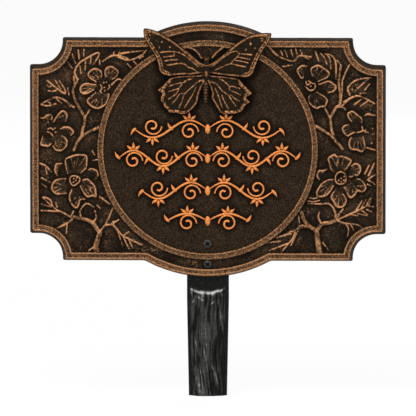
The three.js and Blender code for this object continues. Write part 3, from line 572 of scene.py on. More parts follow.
leftPanel = dict(
    trunks=[[(99.5, 232.5), (97.7, 238.5), (95.6, 245.4), (96, 251.4)]],
    arms=[[(99.5, 232.5), (91.7, 222.1), (83.1, 218.7), (71, 216.1)]],
    stems=[
        [(81.6, 136), (82.5, 129.4), (84.8, 118.5), (80.3, 109.6), (75.2, 100), (73, 89.8), (77.7, 79)],
        [(81.6, 136), (77.9, 140.3), (73.6, 149.8)], [(98.2, 127.2), (89.2, 131.3), (81.4, 136)]],
    twigs=[
        [(71, 216.9), (62.5, 212.2), (56.3, 209.5), (51, 204.1)],
        [(59.5, 210.9), (50, 210.6), (40.5, 210.2)],
        [(83.1, 218.7), (79.7, 213.5), (81.4, 207.5), (86.5, 203.2), (93.4, 206.6)],
        [(99.5, 231.6), (104.5, 225.5), (110.7, 224), (113.4, 221)],
        [(77.1, 79), (74.6, 71.4), (79, 63.1), (87.3, 57.6), (97.5, 52.5), (98.5, 56), (93, 64.3)],
        [(65, 93.7), (58, 89.2), (47.1, 80.3)],
        [(73.9, 107.1), (64.4, 100), (56, 97), (49, 99.4), (40.8, 103.6)],
        [(40.8, 103.9), (47.1, 105.5), (55.4, 103.6)],
        [(102.6, 61.1), (112.8, 55.4), (123.7, 56.7), (128, 58.6)],
        [(118, 57), (129, 60), (141, 55.5), (146, 50.5)], [(120.5, 53.5), (130, 52), (143, 50.5)],
        [(111.5, 84.4), (117.9, 79), (121.8, 80.3)], [(39.2, 162.7), (45.2, 165.3), (50.8, 171.3)],
        [(42.2, 197.2), (51.2, 205.8)], [(43.5, 196.7), (49.5, 199), (51.7, 204)],
        [(72, 218.9), (65.2, 223.8), (54.5, 228.7)], [(71, 215.2), (73.2, 210.9)],
        [(93.4, 221.3), (96, 217), (94.7, 210.9)], [(99.5, 196.3), (109.8, 204)],
        [(110.7, 224.3), (118.4, 219.5)],
        [(112.4, 223.8), (117.5, 229.9), (122.7, 235.5), (131.3, 239.8), (142.5, 244.9)],
        [(94.3, 246.2), (88.3, 250.5)], [(85.4, 116), (89.5, 109.6)]],
    veins=[
        [(67.9, 62.1), (72, 67.8)], [(72, 54.1), (75.5, 63.4)], [(78.1, 49.7), (79, 58.9)],
        [(83.8, 49.3), (83.5, 55.7)], [(90.8, 57.3), (90.5, 63.7)], [(85.4, 60.5), (85.1, 69.8)],
        [(80, 66.3), (80.9, 73.3)], [(99.4, 60), (99.7, 64.3)], [(73.6, 75.8), (74.2, 83.5)],
        [(60.5, 88.6), (55.4, 80.3)], [(65.6, 92.4), (64.4, 88.6), (59.3, 80.6)],
        [(68.8, 94.3), (67.5, 88)], [(55.6, 90.2), (51.8, 91), (48, 90.5)],
        [(47.2, 85.3), (48.6, 86.6), (51, 86)], [(48, 101.6), (50.3, 103.1), (50.3, 105.4)],
        [(61.8, 97.7), (66.3, 101.6), (70.2, 106.2)], [(55.4, 97.8), (61.2, 102.6)],
        [(45.2, 166.2), (46.5, 173.9)], [(40.9, 177.4), (50.4, 182.1)], [(40.9, 183.4), (46.1, 186.8)],
        [(50.4, 206.6), (40.9, 203.6)], [(56.8, 206.6), (55.5, 202.3)], [(94.7, 155), (92.1, 150.7)],
        [(97.7, 159.3), (92.6, 160.1)], [(96.4, 204.5), (99.9, 207.9)], [(104.6, 226.4), (112.8, 207.5)],
        [(66.7, 223.8), (65.9, 233.3)], [(117.5, 230.7), (122.3, 245.4)],
        [(122.7, 235.9), (128.7, 248.4)], [(127.9, 237.6), (132.6, 248)], [(123.6, 235), (128.7, 231.6)],
        [(127.5, 63.8), (131, 67.5)], [(133.5, 61), (136.5, 64.5)], [(139.5, 58.3), (143.5, 56)],
        [(113, 55.4), (113.8, 52.2)], [(118, 56), (119.5, 52.2)]],
    # petals as routes from root to root, the hindmost first
    blossoms=[
        dict(
            petals=[
                [(96.4, 81.8), (92.6, 79.5), (89.2, 76.8), (88.2, 73.4), (91.1, 70), (95.7, 68.4),
                 (99.9, 70.3), (101.4, 72.6), (101.6, 77)],
                [(105.6, 76.5), (104.9, 70.7), (107.5, 67.3), (111.4, 66.5), (115.2, 68.4), (117.9, 71.1),
                 (117.1, 74.5), (115.2, 77.2), (111.7, 79.1)],
                [(96, 84.5), (91.1, 84.1), (86.9, 83.2), (82.3, 84.9), (80.4, 87.6), (80.5, 91),
                 (83.2, 93.3), (87.6, 92.7), (91.5, 90.6), (93.8, 89.5)],
                [(95.7, 92.5), (91.1, 96), (87.4, 99.8), (88, 102.5), (92.2, 106.3), (96.4, 107.8),
                 (99.5, 107.5), (104.9, 104.4), (107.1, 100.6), (108.7, 96), (108.7, 93.7)]],
            creases=[
                [(96.6, 75.3), (99.5, 79.1)], [(87.6, 89.5), (91.5, 88.1)],
                [(95.7, 96.7), (96.4, 99.8), (94.5, 103.2)]],
            stamens=[
                [(100.3, 84.5), (101.4, 86.4), (101.4, 89.1), (99.9, 91), (101.4, 92.5)],
                [(108.7, 84.9), (109.6, 86.8), (107.9, 89.1)]],
            beads=[(103.5, 82.6), (106.2, 82.2), (104.1, 87.4), (104.3, 90.6)]),
        dict(
            petals=[
                [(40.2, 117.6), (43.3, 117.6), (46, 115.7), (48.7, 114.4), (51.7, 115.3), (51.3, 119.9)],
                [(42.4, 135.6), (41.4, 140), (40.6, 144), (44.5, 145.2), (47.9, 145.6), (51, 143.3)],
                [(53.3, 121.8), (55.6, 117.6), (58.6, 113.8), (61.7, 110.7), (64.7, 111.5), (66.7, 114.6),
                 (66.3, 118.4), (65.1, 121.5)],
                [(60.1, 128.7), (64, 126.8), (68.6, 127), (72, 129.5), (73.2, 131.8), (70.5, 135.2)],
                [(61.3, 135.2), (64.7, 137.5), (66.7, 140.6), (66.3, 144.4), (64, 147.9), (60.1, 150.2),
                 (55.6, 149.4), (52.5, 145.6)]],
            creases=[
                [(46.4, 117.6), (48.3, 123.4)], [(56.3, 117.6), (60.9, 116.1), (62.8, 115)],
                [(54.8, 140.6), (55.9, 144.4), (58.2, 147.5)]],
            stamens=[
                [(47.5, 128.7), (50.6, 127.6), (52.9, 129.5)],
                [(47.1, 131.4), (50.2, 132.6), (52.5, 135.6)]],
            beads=[(55.2, 132), (54.4, 128)]),
        dict(
            petals=[
                [(61.5, 163.2), (56.1, 163.8), (55, 166.8), (54.6, 170.3), (56.9, 175.3)],
                [(87.9, 169.5), (90.9, 168.4), (96.3, 170.3), (97.8, 175.3), (95.5, 178.3)],
                [(67.6, 173.3), (66, 167.2), (65.3, 159.2), (70.3, 156.5), (77.1, 154.6), (85.6, 155.4),
                 (86.5, 161.5), (85.6, 167.6), (80.6, 172.6)],
                [(65.7, 178.3), (60.3, 178.5), (55, 180.2), (52.1, 184.1), (51.7, 189), (55.7, 193.2),
                 (61.1, 193.4), (66, 192.9)],
                [(71.4, 189.4), (69.1, 195.5), (70.3, 201.3), (74.1, 206.6), (77.1, 206.6), (79.1, 201.7),
                 (79.8, 199.4), (85.2, 198.6)],
                [(82.5, 179.9), (86.7, 178.9), (90.9, 181.8), (94.4, 186.4), (95.5, 192.1), (95.5, 196.3),
                 (92.1, 195.2), (87.5, 196.3), (83.7, 192.5), (79.8, 185.6)]],
            creases=[[(88.7, 186), (91.5, 192)], [(74.5, 160), (73.5, 168)], [(79.4, 198), (78.5, 196)]],
            stamens=[
                [(74.6, 175.4), (71.2, 175.8), (69.5, 178.6), (70.3, 182.5), (72.8, 185.2), (76, 183.9),
                 (79.4, 180.6), (78.8, 176.8), (74.6, 175.4)]],
            beads=[(73, 181.8), (75.4, 180.2), (73.2, 178.4), (76.4, 177.6)])])

rightPanel = dict(
    trunks=[[(316.8, 230.9), (318.1, 241.6), (319.5, 251.9)]],
    arms=[
        [(316.8, 230.9), (308.4, 225), (303.8, 218.5), (301.2, 211.7)],
        [(300.5, 226.6), (304.5, 226), (308.5, 226.6)],
        [(316.8, 230.5), (322.8, 223.8), (334, 221.3), (338.3, 215.2)]],
    stems=[
        [(330.5, 117.3), (335.9, 107.7), (339.7, 104.5), (340.4, 93.7), (338.8, 82.2), (341, 65.6)],
        [(333.4, 135), (331.5, 128.8), (330.5, 117.3)], [(316.1, 126.2), (325.7, 131.9), (332.3, 136.5)],
        [(332.3, 136.5), (335.8, 141.2), (340.1, 145.5), (342.7, 148.9)], [(336.2, 219.5), (335.6, 213)]],
    twigs=[
        [(335.6, 214.5), (334.9, 211), (332.9, 207), (328.6, 203.6), (320.3, 203.9), (307.4, 203.4)],
        [(338.3, 215.2), (343.1, 209.2)],
        [(269.5, 47), (275.5, 54), (283, 58.5), (293.5, 61.3), (298, 56.8)],
        [(294.5, 60.8), (299.6, 56), (311, 57)],
        [(335.9, 79.3), (336.1, 72.4), (335.9, 64), (334.2, 58.7), (330.6, 55.2), (325.5, 54.4)],
        [(340.4, 104.5), (342, 92.4), (342.3, 82.2)], [(342.3, 80.9), (346.1, 71.4), (349.9, 64.3)],
        [(329.5, 117.3), (324.8, 107.7)], [(337.2, 107.1), (342.3, 107.1), (346.1, 110.3)],
        [(349.6, 94.9), (348, 87.9), (356.3, 80.3), (371, 77.7)],
        [(342.3, 105.8), (348.6, 99.9), (357.3, 96), (366.5, 99.2), (374.9, 103.9)],
        [(365, 173.8), (367.7, 168.4), (369.2, 165.5)], [(368.6, 175.5), (371.7, 169.3), (374.4, 163.5)],
        [(300.5, 225.6), (296.2, 229.9), (288.4, 232.5)],
        [(295.3, 231.6), (292.7, 238.5), (282.8, 250.5)], [(291, 233.3), (276.4, 237.6)],
        [(321.1, 223), (318.5, 217), (319.4, 212.7)],
        [(338.7, 219.3), (351.6, 213.5), (361.4, 209), (369.5, 203.7), (372.1, 198.3)],
        [(337.5, 220.4), (344.4, 223), (357.3, 224.7), (362.5, 228.1)], [(323.3, 242.8), (328.9, 250.5)]],
    veins=[
        [(280.8, 51), (282.6, 55.3)], [(285, 50.5), (287.4, 57.1)], [(291, 49.8), (292.9, 57.1)],
        [(297.1, 54), (295.4, 47.8)], [(302, 54), (300.2, 50)], [(304.7, 57.3), (309.1, 59.2)],
        [(282.6, 66.8), (292.3, 65)], [(315.5, 51.9), (318.7, 61.1)],
        [(320.6, 53.5), (324.6, 58), (326.8, 64.5)], [(327.3, 55.4), (330.2, 60), (330.7, 69)],
        [(341, 65.6), (337.2, 60.5)], [(357.6, 88.6), (368.4, 79)], [(364.6, 90.5), (369.7, 84.1)],
        [(360.1, 93.7), (365.9, 93)], [(354.4, 104.8), (361.4, 99.4)], [(360.8, 105.8), (367.8, 101.3)],
        [(343.6, 102), (352.5, 96.5)], [(367.7, 180), (371.3, 177.2), (375.3, 175.1)],
        [(368.6, 180.4), (372.3, 182.2), (375.3, 184.5)], [(367.7, 184.5), (370.8, 185.8)],
        [(365, 147.2), (375.4, 150.2)], [(287.6, 243.6), (269.5, 250.5)],
        [(280.7, 241.1), (266.9, 242.8)], [(297.9, 230.7), (291, 245.4)],
        [(355.2, 211.7), (358.8, 206.8), (361.9, 201)], [(361.4, 209), (363.7, 204.1), (366.3, 199.6)],
        [(365.9, 206.8), (368.6, 201.4), (371.3, 197.9)], [(351.6, 214.4), (357.9, 215.7)],
        [(358.3, 213.5), (367.2, 215.7)], [(362.3, 210.8), (367.7, 214.4)],
        [(366.8, 209.5), (371.7, 211.7)], [(368.6, 205.9), (373.9, 206.8)],
        [(346.1, 223.8), (348.7, 229), (347.8, 236.8)], [(351.3, 224.7), (353.8, 229.9)],
        [(309, 197.5), (314, 198.5), (319, 197)], [(308, 200.8), (313, 201.8), (320, 200.3)],
        [(299.6, 223), (298.7, 216.1)]],
    blossoms=[
        dict(
            petals=[
                [(303.4, 76.8), (301.5, 78.3), (297.3, 70.6), (299.6, 67.6), (302.7, 65.7), (307.3, 66.4)],
                [(312.6, 76.4), (311.5, 72.5), (311.1, 69.1), (314.5, 66.4), (319.1, 65.7), (322.9, 67.9),
                 (329.1, 72.9), (326.8, 77.5), (321.8, 79.8), (318, 81.7)],
                [(318.4, 84.4), (322.6, 83.3), (328.3, 81.3), (334.8, 84.8), (336, 87.9), (333.3, 91.3),
                 (328.3, 92.8)],
                [(316.8, 92.1), (320.7, 94.4), (325.2, 97.4), (327.2, 100.5), (325.2, 105.8),
                 (320.7, 106.6), (316.8, 108.1), (312.2, 105.8), (309.2, 102), (308.8, 97.4),
                 (310.3, 94.7)]],
            creases=[[(312.6, 71), (315.7, 70.6), (318, 68.3)], [(316, 98), (317, 103)]],
            stamens=[
                [(306.1, 81.7), (306.9, 84.8), (309.6, 84), (311.1, 82.5), (308.4, 81)],
                [(305.3, 86.3), (308, 89), (310.3, 90.5), (314.5, 89), (315.3, 84.4), (312.2, 83.3)]],
            beads=[(310.6, 86.4)]),
        dict(
            petals=[
                [(365.2, 115.4), (368.3, 113.9), (372.1, 115), (375.5, 115.4)],
                [(366, 147.2), (370.2, 148.7), (375.5, 149.8)],
                [(351.4, 137.6), (349.3, 141.4), (349.5, 146), (351.8, 149.1), (356.8, 149.5),
                 (361.8, 151.4), (364.8, 147.9), (364.4, 142.2), (363.3, 137.2)],
                [(348.8, 124.6), (344.9, 125.7), (342.6, 128.4), (343.8, 131.9), (346.1, 134.9),
                 (348.4, 135.7), (352.2, 133.4), (355.3, 132.2)],
                [(351.8, 121.5), (349.1, 118.1), (348, 113.9), (351.4, 111.6), (353.7, 112),
                 (357.9, 115.4), (361.8, 118.8), (361.8, 123)]],
            creases=[
                [(358.7, 141), (357.6, 147.9)], [(371, 124.8), (373.5, 123)],
                [(372, 134.5), (375, 133.8)]],
            stamens=[
                [(357.6, 132.6), (361.4, 131.5), (363.7, 130.7), (368.3, 132.6)],
                [(362.1, 126.5), (362.9, 130.3)], [(365.6, 129.6), (365.6, 132.6)]],
            beads=[(372.5, 128.8), (371.6, 143.3)]),
        dict(
            petals=[
                [(327.6, 169.1), (322.6, 170.7), (319.2, 170.7), (317.3, 176), (319.6, 179.5)],
                [(351.7, 166.1), (354, 164.2), (357.1, 163.8), (360.1, 166.5), (360.5, 170.7),
                 (357.5, 175.3), (354.4, 174.9), (350.9, 177.6), (349, 176.4)],
                [(334.1, 172.6), (330.7, 168), (329.5, 162.6), (328.6, 158.4), (334.5, 154.6),
                 (337.2, 156.9), (342.5, 156.5), (350.9, 160), (349.4, 164.5), (345.2, 170.3)],
                [(333, 179.5), (328.4, 179.9), (322.6, 183.3), (318.8, 188.3), (316.9, 192.5),
                 (318, 195.9), (323, 196.3), (327.2, 194.4), (330.7, 190.6), (333.7, 185.6)],
                [(336, 189.8), (333, 193.2), (331.6, 197.1), (334.1, 201.7), (337.2, 206.6),
                 (343.3, 206.3), (346.4, 200.5), (344.8, 196.3), (342.9, 193.6)],
                [(357.1, 178.7), (361.3, 179.9), (364.7, 184.4), (365.9, 188.3), (362.8, 191.7),
                 (357.8, 190.6), (354.8, 194.8), (350.9, 197.5), (348.7, 195.5), (346.7, 191.3),
                 (344.4, 187.1)]],
            creases=[[(337.9, 159.2), (336.8, 165.3), (338.3, 168.4)], [(357.8, 185.6), (364.3, 186)]],
            stamens=[
                [(341, 171.6), (337.4, 173.2), (335.6, 177.2), (336.2, 181.8), (340, 184.1),
                 (344.4, 182.9), (346.4, 178.6), (345, 173.6), (341, 171.6)]],
            beads=[(338.6, 180.6), (341.2, 182), (343.6, 180.4), (341.2, 178.4), (344.2, 176.6)])])

# Low leaves under the veins of both panels, as base, tip and width: in from the side rim, up from the centre.
leaves = [
    ((37, 72), (62, 100), 15), ((67, 95), (101, 105), 9), ((29, 57), (5, 74), 13), ((35, 45), (2, 47), 9),
    ((69, -56), (61, -47), 6), ((12, -38), (1, -13), 8), ((75, -79), (113, -103), 9),
    ((39, -72), (4, -50), 12), ((40, -74), (15, -82), 7)]
panel = dict(
    step=0.46, halfWidth=178, halfHeight=126, side=174.3, underRim=6, underRing=2.5,
    cupRise=0.75, cupWidth=1.6, cupShine=0.4, foldPlaces=(0.36, 0.52, 0.66), leafRise=0.5, grain=0.14,
    ground=-0.08, patches=0.32, paintedShadeWidth=2.0, paintedShadeDepth=1.5, paintedWallShadowWidth=3.5, paintedWallShadowDark=0.16, wearMm=2.2)


def onPlate(points):
    return (np.asarray(points, float) - sheetCentre) @ sheetAxes


def addPetal(relief, x, y, points):
    # a cupped petal that covers what lies under it, with folds and a raised edge that thins out at the root
    p = panel
    route = smoothRoute(points)
    near = withinBox(x, y, route.min(0), route.max(0))
    within = near[insideLoop(x[near], y[near], route)]
    gap, _ = nearest(x[within], y[within], route)
    nearEdge = np.exp(-gap / p["cupWidth"])
    relief["height"][within] = p["cupRise"] * (0.6 + nearEdge)
    relief["shine"][within] = p["cupShine"] * nearEdge
    root = (route[0] + route[-1]) / 2
    for share in p["foldPlaces"]:
        tip = route[round(share * (len(route) - 1))]
        fold = [root + (tip - root) * 0.42, root + (tip - root) * 0.9]
        addStroke(relief, x, y, fold, *weights["folds"])
    addStroke(relief, x, y, points, *weights["petalEdges"], taper=0.4)


def addBlossom(relief, x, y, blossom):
    for route in blossom["petals"]:
        addPetal(relief, x, y, onPlate(route))
    for route in blossom["creases"]:
        addStroke(relief, x, y, onPlate(route), *weights["creases"], taper=0.5)
    for route in blossom["stamens"]:
        addStroke(relief, x, y, onPlate(route), *weights["stamens"])
    for place in onPlate(blossom["beads"]):
        addStroke(relief, x, y, [place, place + (0.4, 0.3)], *weights["beads"])


def addLeaf(relief, x, y, base, tip, width):
    # u runs along the leaf and v across it
    base, tip = np.asarray(base, float), np.asarray(tip, float)
    length = np.linalg.norm(tip - base)
    axis = (tip - base) / length
    u = ((x - base[0]) * axis[0] + (y - base[1]) * axis[1]) / length
    v = (y - base[1]) * axis[0] - (x - base[0]) * axis[1]
    half = np.maximum(width / 2 * np.sin(math.pi * np.clip(u, 0, 1) ** 0.8), 1e-3)
    within = (u > 0) & (u < 1) & (np.abs(v) < half)
    dome = panel["leafRise"] * (1 - 0.4 * (v[within] / half[within]) ** 2)
    relief["height"][within] = np.maximum(relief["height"][within], dome)


def insideLoop(x, y, loop):
    # even-odd test of grid points against a closed loop
    odd = np.zeros(x.shape, bool)
    for (ax, ay), (bx, by) in zip(loop, np.roll(loop, -1, axis=0)):
        if ay != by:
            crosses = ((ay > y) != (by > y)) & (x < ax + (bx - ax) * (y - ay) / (by - ay))
            odd ^= crosses
    return odd


def reliefPanel(drawing, side):
    p = panel
    step = p["step"]
    columns, rows = int(p["halfWidth"] / step), int(p["halfHeight"] / step)
    across = np.arange(0, columns + 1) * step if side > 0 else np.arange(-columns, 1) * step
    x, y = np.meshgrid(across, np.arange(-rows, rows + 1) * step, indexing="ij")
    flat = x.ravel(), y.ravel()
    relief = newRelief(flat[0])
    for base, tip, width in leaves:
        places = [(side * (p["side"] - inward), up) for inward, up in (base, tip)]
        addLeaf(relief, *flat, *places, width)
    for kind in ("veins", "twigs", "stems", "arms", "trunks"):
        for route in drawing[kind]:
            addStroke(relief, *flat, onPlate(route), *weights[kind])
    for blossom in drawing["blossoms"]:
        addBlossom(relief, *flat, blossom)
    carved = relief["height"].reshape(x.shape)
    height = (carved + softened(carved, 1)) / 2
    # painted shade in the hollows beside the raised strokes
    paintedHollowShade = softened(height, round(p["paintedShadeWidth"] / step)) - height
    wear = 1 + castNoise(x, y, p["wearMm"], seed=23) + 0.7 * castNoise(x, y, 6, seed=28)
    flecks = np.maximum(castNoise(x, y, 15, seed=26), 0) * castNoise(x, y, 1.3, seed=27)
    patches = castNoise(x, y, 13, seed=24) + 0.5 * castNoise(x, y, 4, seed=25) + 6 * flecks
    ground = p["ground"] + p["patches"] * patches - np.clip(paintedHollowShade / p["paintedShadeDepth"], 0, 0.5)
    radius = np.hypot(x, y)
    # painted shadow: the ground is darker along the foot of the rim and the moulding, where their walls shade
    # it
    clear = insideLoop(x, y, plateLoop(plate["rimInner"])) & (radius > ring["outer"])
    foot = np.clip(2 - 2 * softened(clear.astype(float), round(p["paintedWallShadowWidth"] / step)), 0, 1)
    rubAndPaintedLight = ground - p["paintedWallShadowDark"] * foot + relief["shine"].reshape(x.shape) * wear
    still = smooth(np.abs(x) / 4)  # the two panels meet level at the middle
    grain = castNoise(x, y, 1.5, seed=21) + castNoise(x, y, 4, seed=22)
    height = fieldHeight + height + grain * p["grain"] * still
    inside = insideLoop(x, y, plateLoop(p["underRim"])) & (radius > ring["inner"] + p["underRing"])
    return slabShell(x, y, wholeCells(inside), height, fieldHeight - footDepth, rubAndPaintedLight)


for sideName, side, drawing in (("left", -1, leftPanel), ("right", 1, rightPanel)):
    shell = reliefPanel(drawing, side)
    makePiece("relief_panel_" + sideName, [shell], bronzePlate, "plaque_plate", crease=70)

# Scroll ornament in four tiers on the round field, each with its height, half width, waves and swing
scroll = dict(
    tiers=[(21.5, 76, 2, 10), (-9, 92, 3, 9), (-42.5, 68, 2, 9.5), (-74, 42, 1, 8.5)],
    volute=9.6, turns=1.35, half=1.25, leafHalf=1.65, leafPoints=13, rise=1.4, rubAndPaintedLight=0.75,
    buttonHalves=(2.8, 5))


def leafRoute(start, end, bow):
    # a leaf's midrib, bowed to one side
    start, end = np.asarray(start, float), np.asarray(end, float)
    share = np.linspace(0, 1, scroll["leafPoints"])[:, None]
    along = end - start
    return start + along * share + np.array([-along[1], along[0]]) * bow * share * (1 - share)


def scrollTier(level, halfWidth, waves, swing):
    # one half of a running scroll: a waved stem, a volute in every hollow, and leaves past every crest
    s = scroll
    length = halfWidth / waves
    x = np.linspace(2.5, halfWidth, 22 * waves)
    share = np.linspace(0, 1, len(x))
    stem = np.column_stack([x, level + swing * np.sin(math.pi * x / length) * 0.9])
    strokes = [(stem, s["half"] * (0.35 + 0.65 * np.sin(math.pi * share) ** 0.5))]
    leafShare = np.linspace(0, 1, s["leafPoints"])
    leafHalves = s["leafHalf"] * (0.12 + 0.88 * np.sin(math.pi * leafShare**0.7))
    for i in range(waves):
        up = 1 if i % 2 == 0 else -1
        centre = (i + 0.5) * length
        turn = np.linspace(0, 2 * math.pi * s["turns"], 46)
        radius = s["volute"] * (1 - 0.8 * turn / turn[-1])
        spiral = np.column_stack([-radius * np.cos(turn), up * radius * np.sin(turn)])
        spiral += (centre, level - up * swing * 0.28)
        strokes.append((spiral, s["half"] * np.linspace(0.5, 1.0, len(spiral)) ** 0.6))
        crest = np.array([centre, level + up * swing * 0.95])
        for lean, reach in ((-1, 4.65), (0, 8), (1, 4.65)):
            tip = crest + (lean * 6.5, up * reach)
            strokes.append((leafRoute(crest + (lean * 1.2, up * 1.0), tip, -0.35 * lean * up), leafHalves))
        foot = np.array([centre + length * 0.44, level - up * swing * 0.1])
        strokes.append((leafRoute(foot, foot + (5.5, up * 7.5), -0.4 * up), leafHalves))
    return strokes


def scrollShells():
    # both halves of every tier, with a button where they meet
    s = scroll
    shells = []
    for tier in s["tiers"]:
        for route, halves in scrollTier(*tier):
            crests = fieldHeight + s["rise"] * (0.5 + 0.5 * np.minimum(halves / s["half"], 1))
            for side in (-1, 1):
                shells.append(ridgeShell(route * (side, 1), halves, fieldHeight - 0.5, crests, s["rubAndPaintedLight"]))
        button = [circle(share, fieldHeight + lift, 20) * (*s["buttonHalves"], 1) + (0, tier[0], 0)
                  for share, lift in ((1, -0.5), (0.95, 0.6), (0.7, 1.15), (0.3, 1.35))]
        shells.append(loftShell(button, [s["rubAndPaintedLight"]] * len(button)))
    return shells


makePiece("scroll_ornament", scrollShells(), copperEnamel, "plaque_plate", crease=60)


# Butterfly, from its own thorax and its own back
butterfly = dict(
    centre=(-1.2, 81), turn=-1.4, back=9.5, thickness=2.6, edgeShare=0.3, lift=3, nearer=0.6, scallop=0.5,
    bandRise=1.7, edgeRise=2.0, bandShine=1.06, marginEase=3, groove=1.5, grain=0.25,
    veins=(1.15, 0.9775, 1.3, 1), webs=(2.2, 2.2, 0.91, 0.6),  # half width at both ends, rise and brightness
    spots=(1.5, 0.9),  # rise and brightness
    pitRadius=0.95, pitDepth=1.2, pitDark=0.9, ground=-0.24, paintedHollowShadeDark=0.2, underRub=-0.3,
    wear=0.92, wearSwing=0.8, wearMm=2.2, stippleFrom=27, bosses=dict(upper=3.5, lower=-13.5),
    feelerHalf=1.15, feelerClub=0.5, feelerTop=8.4, feelerRise=0.7, feelerRub=0.55,
    feelers=[[(-5, 13.4), (-7.2, 16.6), (-9.6, 19.6), (-12.6, 22.2), (-16, 24), (-21.4, 25.4)],
             [(5.2, 14.4), (7.6, 17.2), (9.8, 20), (14, 23.9), (17.2, 26.7)]])
# The wings are read in the reference picture like the branches, side -1 being the wing on the left.
# The margin runs between two shares of the outline's length; outside it lie the leading and the rear edge.
foreWing = dict(
    heart=(38, 14), margin=(0.39, 0.79), scallops=0, wall=1.2, edges=(3.4, 2.9), band=5.7, narrow=0.76,
    dip=0.4, pitStep=3.3, pitsFrom=8, stipple=0.9)
foreDrawings = {
    -1: dict(
        outline=[
            (205.9, 65.4), (203.8, 64.4), (200.1, 61.6), (196, 58.4), (191.9, 54.8), (187.3, 51.1),
            (182.7, 47.4), (179, 44.4), (174.9, 41.4), (170.3, 38.2), (165.7, 35.5), (160.7, 33),
            (157.9, 31.6), (152.4, 29.7), (146.9, 28.4), (144.1, 28.8), (143.6, 31.8), (144.6, 37.8),
            (148.7, 45.6), (152.4, 51.5), (155.2, 56.1), (157, 60.7), (158.1, 65.3), (158.8, 69.5),
            (160.7, 72.9), (163.9, 74.9), (168.5, 76.3), (171.2, 76.2), (176.7, 75.4), (185.9, 75.1),
            (191.9, 75.1), (199.7, 74.2), (205.8, 73.4)],
        veins=[
            [(160.2, 52.5), (165.7, 51.5), (176.7, 51.8), (184.1, 54.8), (191, 60.3), (198.3, 66.7)],
            [(163.4, 56.8), (168.5, 56.4), (174.4, 55.7)], [(165, 60.7), (169.8, 60), (177.6, 59.4)],
            [(167.1, 64.9), (180.4, 63.3), (185.5, 64.4), (188.7, 67.2), (192.8, 68.5), (197.4, 71.8)],
            [(174.2, 53.4), (174.6, 56)]],
        webs=[[(189.5, 57), (196, 62.6), (202.5, 66.5)], [(147.5, 31.8), (149.6, 34), (149.8, 38)]],
        spots=[(162.3, 41.9, 1.7), (159.7, 47.2, 1.8), (170.1, 47, 1.6), (158.4, 41.4, 1)]),
    1: dict(
        outline=[
            (207, 65.4), (210.4, 64.9), (214.6, 61.9), (219.2, 58), (223.7, 54.1), (228.3, 49.9),
            (232.5, 46.3), (237.1, 42.6), (242.1, 39.4), (247.6, 36.4), (253.1, 34.6), (257.3, 33.7),
            (261.4, 33.3), (270.6, 33.2), (271.4, 35.5), (270.1, 39.6), (268.3, 43.5), (265.1, 48.1),
            (261.9, 53.6), (259.6, 58.2), (257.3, 63.3), (255.4, 68.3), (254, 72.4), (251.3, 75.7),
            (247.2, 77.6), (242.1, 77.6), (236.1, 76.9), (227, 76.1), (217.8, 75.1), (212.3, 74.1),
            (207, 73.4)],
        veins=[
            [(251.8, 54.7), (245.3, 54.1), (239.8, 53.6), (237.5, 51.8), (235.7, 51.1), (231.5, 52.2),
             (228.3, 54.3), (223.7, 57.5)],
            [(249.9, 59.4), (243.9, 58.1), (237.7, 57.1)], [(248.5, 62.8), (242.1, 61.4), (233.8, 60)],
            [(246.2, 66.8), (238.4, 65.4), (231.1, 63.9), (226, 65.3), (219.6, 68.1), (215, 70.4)],
            [(239.1, 54.3), (237.1, 57.3), (233.4, 60.5), (231.5, 63.5)]],
        webs=[[(225.5, 55), (220, 59.8), (214.5, 64)], [(267.5, 36), (263, 36.6), (262.6, 40.5)]],
        spots=[(250.8, 44, 2), (246, 49.5, 1.8), (255.2, 48.1, 1.2)])}
hindWing = dict(
    heart=(25, -22), margin=(0.245, 0.74), scallops=11, wall=0.9, edges=(2.4, 2.7), band=3.7, narrow=1.12,
    dip=0.25, pitStep=4.4, pitsFrom=4, stipple=0)
